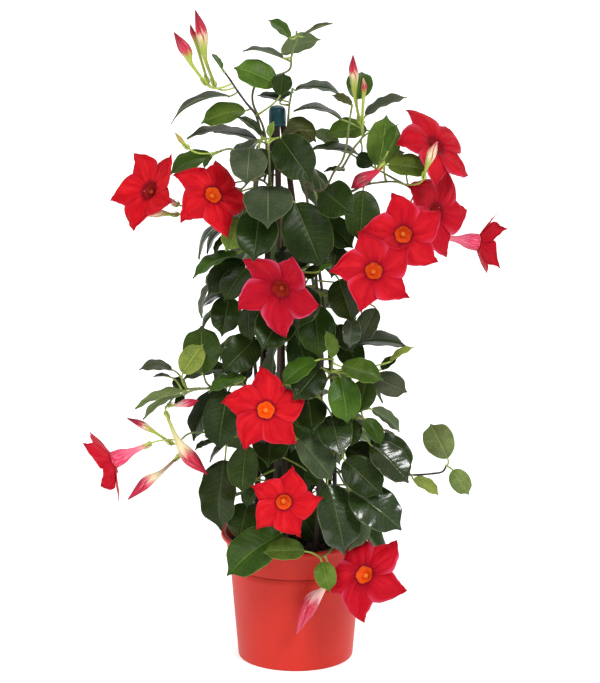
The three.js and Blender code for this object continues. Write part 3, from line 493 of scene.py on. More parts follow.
def smooth(points, per_span):
    """A Catmull-Rom curve through the points: each span is a cubic whose end slopes are half the step
    between the neighbours on either side."""
    p = np.concatenate([2 * points[:1] - points[1:2], points, 2 * points[-1:] - points[-2:-1]])
    t = np.linspace(0, 1, per_span, endpoint=False)[:, None, None]
    a, b, c, d = p[:-3], p[1:-2], p[2:-1], p[3:]
    spans = 0.5 * (2 * b + (c - a) * t + (2 * a - 5 * b + 4 * c - d) * t ** 2
                   + (3 * b - a - 3 * c + d) * t ** 3)
    return np.concatenate([spans.transpose(1, 0, 2).reshape(-1, 3), points[-1:]])


def main_stem(bearing, top):
    """A spiral round the canes: the radius swells by a half sine and narrows upwards, while the centre
    moves over to the cap."""
    foot = SOIL_TOP - SOIL_HOLE + 4
    z = foot + (top - foot) * np.arange(11) / 10
    t = (z - foot) / (CROWN - foot)
    angle = np.radians(bearing + 40 * t)
    radius = 38 + 16 * np.sin(np.pi * t) - 20 * t
    return np.stack([CAP_ACROSS * t + radius * np.sin(angle), -radius * np.cos(angle), z], -1)


perch_points, perch_vines = np.empty((0, 3)), np.empty(0, int)
cloud = np.empty((0, 3))
stem_skins = {name: [] for name in VINES}
vine_names = list(VINES)


def add_perches(points, vine):
    """Keeps points of a stem as places where a stalk may start."""
    global perch_points, perch_vines
    perch_points = np.concatenate([perch_points, points])
    perch_vines = np.concatenate([perch_vines, np.full(len(points), vine)])


def occupy(points):
    """Keeps points that each leaf placed later stays clear of."""
    global cloud
    cloud = np.concatenate([cloud, np.reshape(points, (-1, 3))])


def ends_doubled(values):
    """A tube's values along its path, as a column that has a row for each closing point as well."""
    return np.concatenate([values[:1], values, values[-1:]])[:, None]


def add_stem(vine, path, radii, sides, wood, per_span=6):
    """A stem's round skin through the path's points, and its place in the cloud."""
    fine = smooth(path, per_span)
    share = np.linspace(0, 1, len(fine))
    thick = np.interp(share, np.linspace(0, 1, len(path)), np.broadcast_to(radii, len(path)))
    bumps = 1 + 0.06 * np.sin(len(path) * 5.1 * share + vine)
    age = np.interp(share, (0, 1), wood)
    age = ends_doubled(age)
    stem_skins[vine_names[vine]].append(skin(tube(fine, thick * bumps, sides), wood=age))
    points = spaced(path, 5)
    occupy(points)
    return points


for vine, (bearing, top) in enumerate(VINES.values()):
    path = main_stem(bearing, top)
    points = add_stem(vine, path, np.linspace(STEM_FOOT, STEM_TIP, len(path)), 12, (1.0, 0.25), 10)
    add_perches(points[points[:, 2] > SOIL_TOP + 8], vine)
for number, shoot in enumerate(SHOOTS):
    path = at(shoot)
    below = np.flatnonzero(perch_points[:, 2] < path[0, 2] + 5)
    nearest = below[np.argmin(np.linalg.norm(perch_points[below] - path[0], axis=1))]
    root, vine = perch_points[nearest], perch_vines[nearest]
    path = np.concatenate([root[None], path[np.linalg.norm(path - root, axis=1) > 6]])
    wood = (0.7, 1.1) if number in WOODY_SHOOTS else (0.35, 0.0)
    add_perches(add_stem(vine, path, np.linspace(SHOOT_RADIUS, 1.0, len(path)), 10, wood)[1:], vine)

# ---- blooms -------------------------------------------------------------------------------------
# Twelve open flowers. Each is a pink funnel tube that flares into five broad red lobes, set like a
# pinwheel's and lapping over one another, round a throat with a small cone of anthers in it.

# the two directions in the plane that leans back, and the one square to it, out to the front
ACROSS = np.array([1.0, 0.0, 0.0])
UP = np.array([0.0, math.sin(LEAN), math.cos(LEAN)])
OUT = np.array([0.0, -math.cos(LEAN), math.sin(LEAN)])
TUBE_LENGTH, THROAT, LOBES, FUNNEL_SIDES = 45.0, 8.0, 5, 30
# the place of the throat, bearing and rise in degrees from straight out, the angle of the first
# lobe's tip, the limb's radius, how far its tips stand forward, its share of pink, how much of a lobe
# is a narrow spur, and how far the throat is out of shade: below 1, painted shade darkens its orange
BLOOMS = [
    ((-147, 465, 45), -43, 18, 53, 45, 7, 0.1, 0.7, 0.0),
    ((-80, 461, 65), 24, 22, 73, 44, -12, 0.15, 0.7, 0.9),
    ((-16, 365, 88), -25, -22, 58, 47, 12, 1.0, 0.4, 0.1),
    ((78, 385, 112), 10, 15, 108, 45, -6, 0.5, 0.9, 0.6),
    ((107, 420, 78), 5, -4, 35, 44, 2, 0.5, 0.6, 0.6),
    ((141, 511, 20), 46, 32, 32, 48, -8, 0.6, 0.5, 0.0),
    ((142, 443, 20), 47, 0, 76, 48, -2, 0.8, 0.5, 0.0),
    ((187, 413, -32), 106, -8, 80, 35, 18, 0.2, 1.0, 0.3),
    ((-29, 247, 112), 5, 8, 26, 45, -5, 0.1, 0.6, 1.0),
    ((-11, 154, 116), 8, -14, 9, 40, 3, 0.1, 1.0, 0.7),
    ((67, 83, 106), -27, 17, 57, 47, -11, 0.7, 0.4, 0.8),
    ((-186, 194, 50), -104, -24, 40, 40, 12, 0.2, 0.6, 0.3)]


def direction(across, up, out):
    return across * ACROSS + up * UP + out * OUT


def bloom_frame(bearing, rise):
    """The way that the flower looks, and two directions across it."""
    b, r = math.radians(bearing), math.radians(rise)
    way = direction(math.sin(b) * math.cos(r), math.sin(r), math.cos(b) * math.cos(r))
    side = unit(np.cross(UP, way))
    return way, side, np.cross(way, side)


def sheet(top, ways, thickness, u, v, **marks):
    """A thin closed skin: a grid of points across each row, its copy behind it by the thickness, and
    half-way between them the line that closes it all round. Its mark "under" is 1 behind."""
    back = top - ways * np.broadcast_to(thickness, top.shape[:2])[..., None]
    middle = (top + back) / 2
    rings = np.concatenate([middle[:, :1], top[:, 1:-1], middle[:, -1:], back[:, -2:0:-1]], 1)
    seam = np.concatenate([middle, middle[:, -2:0:-1]], 1)
    rows = np.concatenate([u[:1], u, u[-1:]])
    across = np.concatenate([v, v[-2:0:-1], v[:1]])
    under = np.zeros((len(rows), rings.shape[1]))
    under[:, len(v):] = 1
    uv = np.stack(np.broadcast_arrays(rows, across[None]), -1)
    return skin(np.concatenate([seam[:1], rings, seam[-1:]]), uv, under=under, **marks)


LOBE_MARGIN = 0.5 - 0.5 * np.cos(np.linspace(0, np.pi, 21))
LOBE_NOTCH, LOBE_THICK = 0.64, 0.5


def lobe(radius, forward, turn, spur, phase, **marks):
    """One lobe in the flower's own axes. Each row is an arc at one share of the limb's radius, from the
    lobe's rounded margin to its steep one, and both close on the tip. The height rises along a flare,
    domes between the margins, sinks along a crease to the tip, falls from one margin to the other so
    that the lobes lap, and ripples more and more towards the rim."""
    share = np.concatenate([np.linspace((THROAT - 0.3) / radius, LOBE_NOTCH, 14),
                            1 - (1 - LOBE_NOTCH) * np.linspace(1, 0, 20)[1:] ** 1.35])[:, None]
    margin = LOBE_MARGIN[None]
    outwards = np.clip((share - LOBE_NOTCH) / (1 - LOBE_NOTCH), 0, 1)
    ragged = np.sin(np.pi * outwards) * (1.3 * np.sin(26 * share + phase) + np.sin(53 * share + 2.3 * phase))
    spurred = 1 / (1 + (outwards / 0.34) ** 2.2) - 0.085 * outwards
    round_side = -50 * ((1 - spur) * (1 - outwards ** 1.6) + spur * spurred) + ragged
    steep_side = 22 * (1 - outwards) ** (1.4 + 0.8 * spur) + 0.6 * ragged
    lapping = np.clip((0.68 - share) / 0.4, 0, 1)
    round_side, steep_side = round_side - 14 * lapping, steep_side + 8 * lapping
    angle = np.radians(turn + round_side + (steep_side - round_side) * margin)
    rim = np.clip((share - THROAT / radius) / (1 - THROAT / radius), 0, 1)
    full = np.clip((steep_side - round_side) / 50, 0, 1)
    edge = 2 * margin - 1
    crease = np.exp(-((margin - 0.66 + 0.05 * np.sin(6 * share + phase)) / 0.09) ** 2)
    side_folds = np.sin(13 * margin + 3 * np.sin(3 * share + phase) + 2 * phase)
    waves = np.sin(15 * share + 2.5 * edge + phase) + 0.6 * np.sin(27 * share - 3 * edge + 1.7 * phase)
    buckle = (0.075 * np.sin(np.pi * margin) - 0.03 * margin - 0.035 * crease * (1 - 0.6 * outwards)
              + 0.013 * side_folds * np.sin(np.pi * rim) + 0.03 * rim ** 2 * edge ** 2 * waves
              + 0.022 * rim ** 2 * np.sin(7 * margin + 5 * share + 3 * phase))
    height = (forward * share * rim - 3.2 * (1 - rim) ** 4 + full * radius * rim * buckle
              + 1.2 * full * (0.5 - margin) * np.clip(4 * rim, 0, 1) - 0.6 - 0.04 * radius * outwards ** 3)
    top = np.stack([radius * share * np.cos(angle), radius * share * np.sin(angle), height], -1)
    ways = np.array([0.0, 0.0, 1.0])
    return sheet(top, ways, LOBE_THICK, share, LOBE_MARGIN, zone=0.0, phase=phase, **marks)


def mark(shader, label, output="Fac"):
    """A value that the surface carries from point to point."""
    made = shader.id_data.nodes.new("ShaderNodeAttribute")
    made.attribute_name = label
    return made.outputs[output]


def petal_finish():
    """Scarlet velvet with radial folds, painted shade in their hollows and a painted highlight on their
    crests, rosy margins that are partly the petals' own colour and partly a painted sheen, painted shadow
    where each lobe dips under the next, painted shade deepening into an orange throat that is painted dark
    where it lies in shade, and a tube that pales down to its green foot. Each lobe carries a phase, so that
    no two have the same folds."""
    material, shader, place, uv = finish_of(
        "petal", Roughness=0.55, Specular_IOR_Level=0.07, Subsurface_Weight=0.1, Subsurface_Scale=0.003,
        Subsurface_Radius=(1.0, 0.2, 0.15))
    behind, pink, zone = mark(shader, "under"), mark(shader, "pink"), mark(shader, "zone")
    glow, phase = mark(shader, "glow"), mark(shader, "phase")
    radial, across, _ = node("SeparateXYZ", uv).outputs
    apart = node("CombineXYZ", radial, across, phase).outputs[0]
    folds = noise(apart, 2.6, 1.5, 0.45, (0.8, 2.0, 1))
    veins = noise(apart, 6.0, 3.0, 0.55, (0.8, 13.0, 1))
    patches = mottle(place, 60.0, 700.0, 0.3)
    # Rosy margins: partly the petals' own colour and partly a painted satin sheen, broad on each lobe's
    # rounded side.
    rosy_rims_and_sheen = calc("MAXIMUM", falling(across, 0.0, 0.2), product(rising(across, 0.9, 1.0), 0.5))
    rosy_rims_and_sheen = product(rosy_rims_and_sheen, rising(radial, 0.35, 0.8), linear(folds, -0.8, 1.1), linear(pink, 0.85, 0.05))
    # Painted shade deepening into the throat, broken by the folds; it reaches further on pinker blooms.
    throat_shade = calc("SUBTRACT", linear(folds, 0.3, 0.85), rising(radial, 0.18, linear(pink, 0.22, 0.3)))
    bulge = calc("SINE", product(across, math.pi))
    from_throat = calc("SUBTRACT", radial, linear(bulge, 0.022, 0.172))
    lit = mixed(rising(veins, 0.4, 0.65), (0.86, 0.13, 0.006), (0.80, 0.055, 0.004))
    red = coated(
        mixed(pink, (0.54, 0.005, 0.009), (0.37, 0.003, 0.016)),
        (product(rising(patches, 0.42, 0.62), 0.4), (0.42, 0.001, 0.008)),
        # painted highlight on the crests of the folds, and painted shade in their hollows
        (product(falling(folds, 0.32, 0.48), linear(pink, -0.2, 0.4)), (0.66, 0.018, 0.028)),
        (product(rising(folds, 0.5, 0.68), 0.45), (0.33, 0.0, 0.008)),
        (product(rising(veins, 0.52, 0.74), 0.14), (0.42, 0.0, 0.006)),
        # painted shadow across each lobe towards its steep side, where it dips under the next lobe
        (product(rising(across, 0.5, 0.92), 0.38), (0.34, 0.0, 0.008)),
        # rosy margins, partly the petals' own colour and partly a painted sheen
        (rosy_rims_and_sheen, (0.72, 0.12, 0.26)),
        # painted shade deepening round the throat, and a narrower, darker ring of it at the throat's edge
        (calc("MULTIPLY", throat_shade, 0.62, clamp=True), (0.24, 0.0, 0.008)),
        (product(falling(from_throat, 0.0, 0.08), 0.8), (0.14, 0.0, 0.008)),
        # painted shade: where the throat lies in shade, the lobes' orange edge is painted dark
        (falling(from_throat, -0.008, 0.008), mixed(glow, (0.20, 0.002, 0.006), lit)))
    back = mixed(rising(veins, 0.4, 0.7), (0.54, 0.010, 0.026), (0.42, 0.003, 0.012))
    throat = colour_ramp(radial, (0.0, (0.84, 0.11, 0.006)), (0.09, (0.80, 0.085, 0.004)),
                         (0.15, (0.84, 0.095, 0.005)), (0.21, (0.88, 0.14, 0.008)))
    # painted shade: a throat that lies in shade is painted dark
    throat = mixed(glow, mixed(patches, (0.16, 0.0, 0.005), (0.30, 0.012, 0.008)), throat)
    outer = colour_ramp(radial, (0.0, (0.46, 0.46, 0.14)), (0.16, (0.80, 0.50, 0.34)),
                        (0.34, (0.75, 0.14, 0.23)), (0.68, (0.64, 0.025, 0.095)), (1.0, (0.56, 0.012, 0.042)))
    outer = mixed(product(rising(veins, 0.5, 0.62), 0.45), outer, (0.88, 0.48, 0.56))
    # painted shade: so is the cone of anthers in a shaded throat
    cone = mixed(glow, (0.38, 0.04, 0.015), (0.90, 0.24, 0.03))
    colour = coated(mixed(behind, red, back), (rising(zone, 0.5, 0.6), throat),
                    (rising(zone, 1.5, 1.6), outer), (rising(zone, 2.5, 2.6), cone))
    fill(shader, Base_Color=colour, Normal=relief(linear(veins, 0.07, folds), 3.4))
    return material


FUNNEL = [(0, -45.0), (1.6, -45), (2.2, -43), (2.7, -36), (3.2, -29), (4.6, -23), (6.8, -18), (8.0, -13.5),
          (8.4, -9), (8.6, -7), (8.6, -5.4), (8.4, -4.7)]
LINING = [(8.0, -4.3), (7.5, -4.6), (6.9, -5.5), (6.0, -6.8), (4.6, -8.1), (2.8, -9.0), (0, -9.4)]
ANTHERS = [(0, -10.4), (2.2, -9.6), (2.7, -8.0), (2.4, -6.4), (1.6, -5.2), (0.8, -4.5), (0, -4.3)]


def bloom_skins(radius, forward, twist, spur, **marks):
    """Five lobes, the funnel with its inner wall, and the cone of anthers, in the flower's own axes."""
    skins = [lobe(radius, forward, twist + 360 // LOBES * number, spur, 1.9 * number + 0.37 * twist, **marks)
             for number in range(LOBES)]
    funnel = turned(FUNNEL + LINING, FUNNEL_SIDES)
    funnel[..., :2] *= 1 + 0.05 * np.cos(LOBES * turns(FUNNEL_SIDES))[:, None]
    along = np.concatenate([np.linspace(0, 1, len(FUNNEL)), np.linspace(0.21, 0.02, len(LINING))])[:, None]
    zone = np.where(np.arange(len(along)) < len(FUNNEL), 2.0, 1.0)[:, None]
    uv = np.stack(np.broadcast_arrays(along, np.linspace(0, 1, FUNNEL_SIDES + 1)[None]), -1)
    skins.append(skin(funnel, uv, under=0.0, zone=zone, phase=0.0, **marks))
    skins.append(skin(turned(ANTHERS, 15), under=0.0, zone=3.0, phase=0.0, **marks))
    return skins


CALYX_LENGTH = 9.0


def sepals(vine, foot, way, wide):
    """Five narrow green sepals: each a pointed blade that stands out from the receptacle and curves in
    along the tube."""
    side = unit(np.cross(way, OUT + 0.1 * ACROSS))
    other = np.cross(way, side)
    t = np.linspace(0, 1, 7)[:, None]
    v = np.array([-1, -0.7, 0, 0.7, 1])
    half = 1.35 * (1 - t) ** 0.8 * (1 + 0.6 * t)
    out = wide + 1.1 * np.sin(np.pi * t) + 0.25
    for number in range(LOBES):
        angle = 2 * np.pi * number / LOBES
        spoke = math.cos(angle) * side + math.sin(angle) * other
        top = (foot + (t * CALYX_LENGTH - 1.5)[..., None] * way + out[..., None] * spoke
               + (half * v)[..., None] * np.cross(way, spoke))
        stem_skins[vine_names[vine]].append(sheet(top, spoke, 0.4, t, v, wood=-0.3))


def bend(start, knee, end, t):
    """The quadratic curve that leaves its start towards the knee and comes from the knee to its end."""
    return (1 - t) ** 2 * start + 2 * t * (1 - t) * knee + t ** 2 * end


def add_flower_stalk(foot, way, wide):
    """The stalk bends from the nearest perch into the flower's line, and swells under the calyx."""
    perch = np.argmin(np.linalg.norm(perch_points - (foot - 14 * way), axis=1))
    root, vine = perch_points[perch], perch_vines[perch]
    reach = np.linalg.norm(root - foot)
    knee = foot - min(14, 0.5 * reach) * way
    end = foot - SEAT * way
    path = bend(root, knee, end, np.array([0, 0.35, 0.7, 1])[:, None])
    occupy(spaced(np.concatenate([path[:3], end[None] - 3 * way, path[3:]]), 5))
    fine = bend(root, knee, end, np.linspace(0, 1, 22)[:, None])
    back = np.linalg.norm(fine - end, axis=1)
    radii = 0.9 + (wide - 0.9) * np.clip(1 - back / 3.5, 0, 1) ** 1.5
    stem_skins[vine_names[vine]].append(skin(tube(fine, radii, 10), wood=-0.2))
    sepals(vine, end, way, wide)


petal_material = petal_finish()
bloom_frames = []
for number, (place, bearing, rise, twist, radius, forward, pink, spur, glow) in enumerate(BLOOMS, 1):
    throat, (way, side, other) = at(place), bloom_frame(bearing, rise)
    bloom_frames.append((throat, way, side, other, radius, forward))
    axes = np.stack([side, other, way])
    skins = [(points @ axes + throat, uv, slot, marks) for points, uv, slot, marks in
             bloom_skins(radius, forward, twist, spur, pink=pink, glow=glow)]
    bloom = piece(f"flower_{number}", skins, petal_material)
    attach(bloom, "root")
    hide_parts(f"bloom_{number}")
    add_flower_stalk(throat - TUBE_LENGTH * way, way, 2.6)

# ---- buds ---------------------------------------------------------------------------------------
# Thirteen furled flowers, each a slim tube with its petals rolled into a spindle above it, and one
# withered one. The rolled margins show as stripes that wind round the spindle to its sharp tip.

GREEN, CREAM, PINK = (0.40, 0.46, 0.07), (0.80, 0.68, 0.42), (0.72, 0.10, 0.18)
CRIMSON, MAROON, PALE = (0.50, 0.008, 0.04), (0.15, 0.006, 0.012), (0.86, 0.46, 0.46)
BUD_SIDES, CLEFT = 48, 0.09
# places of foot, neck, shoulder, brow and tip, the greatest radius, and the colour at each of the five
BUDS = {
    "bud_top_left_tall": (
        [(-80, 569, 25), (-89, 593, 21), (-92, 613, 18), (-94, 625, 17), (-99, 642, 16)], 6,
        (GREEN, GREEN, CREAM, CRIMSON, MAROON)),
    "bud_top_left_thin": (
        [(-87, 572, 20), (-96, 602, 10), (-100, 616, 8), (-102, 621, 7), (-104, 628, 6)], 2.8,
        (GREEN, GREEN, CRIMSON, CRIMSON, MAROON)),
    "bud_top_left_short": (
        [(-89, 570, 32), (-103, 589, 34), (-107, 600, 33), (-112, 608, 32), (-120, 620, 31)], 6,
        (GREEN, GREEN, CRIMSON, CRIMSON, MAROON)),
    "bud_top_right_tall": (
        [(64, 532, 22), (59, 556, 20), (58, 576, 19), (57, 585, 19), (57, 598, 18)], 4.8,
        (GREEN, GREEN, CREAM, CRIMSON, MAROON)),
    "bud_top_right_short": (
        [(66, 531, 31), (67, 552, 31), (68, 564, 31), (68, 568, 31), (67, 575, 31)], 2.8,
        (GREEN, GREEN, CRIMSON, CRIMSON, CREAM)),
    "bud_truss_right": (
        [(127, 477, 62), (129, 485, 64), (133, 496, 68), (136, 503, 68), (140, 512, 66)], 4.6,
        (GREEN, GREEN, CREAM, CREAM, PINK)),
    "bloom_spent_right": (
        [(86, 489, 52), (81, 483, 54), (68, 476, 58), (62, 471, 59), (55, 466, 60)], 7,
        (CRIMSON, CRIMSON, MAROON, CRIMSON, MAROON)),
    "bud_truss_left_large": (
        [(-129, 243, 56), (-119, 219, 59), (-109, 203, 62), (-101, 194, 64), (-88, 182, 66)], 7.8,
        (GREEN, CREAM, CRIMSON, CRIMSON, CRIMSON)),
    "bud_truss_left_low": (
        [(-117, 200, 38), (-133, 185, 38), (-146, 176, 38), (-154, 169, 38), (-168, 156, 38)], 6,
        (MAROON, CREAM, PINK, CRIMSON, CRIMSON)),
    "bud_truss_left_thin": (
        [(-124, 213, 47), (-139, 223, 49), (-149, 229, 50), (-156, 233, 50), (-168, 238, 50)], 3.8,
        (GREEN, GREEN, CREAM, CRIMSON, MAROON)),
    "bud_truss_left_small": (
        [(-126, 251, 50), (-119, 251, 52), (-110, 253, 55), (-104, 254, 55), (-97, 256, 56)], 4.6,
        (CREAM, PALE, PINK, CRIMSON, CRIMSON)),
    "bud_over_rim": (
        [(31, 72, 80), (27, 66, 80), (18, 57, 80), (11, 44, 80), (1, 22, 82)], 8.2,
        (CREAM, PALE, CRIMSON, CRIMSON, PINK)),
    "bud_left_pale": (
        [(-118, 441, 18), (-124, 441, 22), (-133, 442, 25), (-139, 441, 28), (-148, 439, 32)], 3.8,
        (GREEN, GREEN, CREAM, CREAM, CREAM)),
    "bud_left_small": (
        [(-107, 507, 38), (-110, 510, 38), (-113, 513, 38), (-115, 516, 38), (-119, 521, 38)], 2.6,
        (GREEN, GREEN, GREEN, GREEN, GREEN))}


def bud_finish():
    """The colour rides on the surface; fine grooves follow the rolled margins up the spindle."""
    material, shader, _, uv = finish_of(
        "furled petals", Roughness=0.4, Specular_IOR_Level=0.3, Subsurface_Weight=0.1, Subsurface_Scale=0.003,
        Subsurface_Radius=(1.0, 0.3, 0.2))
    along, round_it, _ = node("SeparateXYZ", uv).outputs
    stripe = calc("PINGPONG", product(linear(along, 0.35, round_it), 5.0), 0.5)
    upper = rising(along, 0.38, 0.6)
    streaks = noise(uv, 6.0, 3.0, 0.6, (0.8, 9.0, 1))
    colour = coated(
        mark(shader, "tone", "Color"),
        (product(falling(stripe, 0.05, 0.17), upper, 0.9), (0.24, 0.002, 0.016)),
        (product(rising(streaks, 0.5, 0.62), upper, 0.65), (0.52, 0.012, 0.05)),
        # pale streaks in the middle of the spindle: partly the petals' own pale streaks, partly a painted
        # highlight
        (product(rising(along, 0.42, 0.52), falling(along, 0.62, 0.86), falling(streaks, 0.36, 0.46), 0.5),
         (0.90, 0.60, 0.60)))
    fill(shader, Base_Color=colour, Normal=relief(calc("ADD", product(stripe, 0.8), streaks), 0.7))
    return material


bud_material = bud_finish()
for name, (row, wide, tones) in BUDS.items():
    places = at(row)
    path = smooth(places, 14)
    radii = np.outer((1.4, max(1.6, 0.36 * wide), 0.92 * wide, 0.86 * wide, 0.5), (1, 0, 0))
    radii = np.clip(smooth(radii, 14)[:, 0], 0.4, wide)
    share = np.linspace(0, 1, len(path))
    furl = CLEFT * np.clip((share - 0.4) / 0.3, 0, 1)
    points = tube(path, radii, BUD_SIDES, twist=-2.0, flutes=5, depth=furl[:, None])
    share, angle = ends_doubled(share), turns(BUD_SIDES)[None]
    # the colours meet in streaks along the petals: their share runs on or back round the spindle
    runs = share + 0.04 * np.sin(5 * angle - 2 * share) + 0.018 * np.sin(13 * angle + 3)
    runs = runs + 0.01 * np.sin(19 * angle)
    stops = np.linspace(0, 1, 5) * (1, 1.6, 1.16, 0.96, 1)
    tone = np.stack([np.interp(runs, stops, [colour[c] for colour in tones]) for c in range(3)]
                    + [np.ones(runs.shape)], -1)
    bud = piece(f"{name}_furled", [skin(points, tone=tone)], bud_material)
    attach(bud, "root")
    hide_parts(name)
    add_flower_stalk(places[0], unit(places[1] - places[0]), 1.8)

# ---- leaves -------------------------------------------------------------------------------------
# Leathery oval leaves with a drip tip, a sunk midrib and side veins that curve forward, each on a
# short stalk. Those at the front are placed one by one, and the rest by a rule round the canes.

BLADE_ASPECT, BLADE_LONGEST, BLADE_ARCH, BLADE_FOLD, BLADE_THICK = 0.7, 60.0, 0.07, 0.14, 0.5
LEAF_GAPS, VEIN_PAIRS, RIB_DEPTH, GOLDEN_ANGLE = (6.0, 4.5), 11.0, 0.45, 137.508
# the colour of the upper face and the roughness, in each tone
# The tones are partly the leaves' own greens, young and old, and partly painted light: a leaf's tone is
# lighter or darker also by the light or shade it stands in, and "grey" is partly a painted pale sheen.
TONES = {"dark": ((0.012, 0.025, 0.004), 0.3), "mid": ((0.025, 0.048, 0.009), 0.32),
         "bright": ((0.035, 0.080, 0.008), 0.3), "light": ((0.15, 0.20, 0.04), 0.45),
         "olive": ((0.042, 0.050, 0.013), 0.42), "grey": ((0.05, 0.065, 0.036), 0.48),
         "gloss": ((0.014, 0.027, 0.006), 0.2), "soft": ((0.12, 0.17, 0.055), 0.45),
         "fresh": ((0.066, 0.112, 0.016), 0.36)}
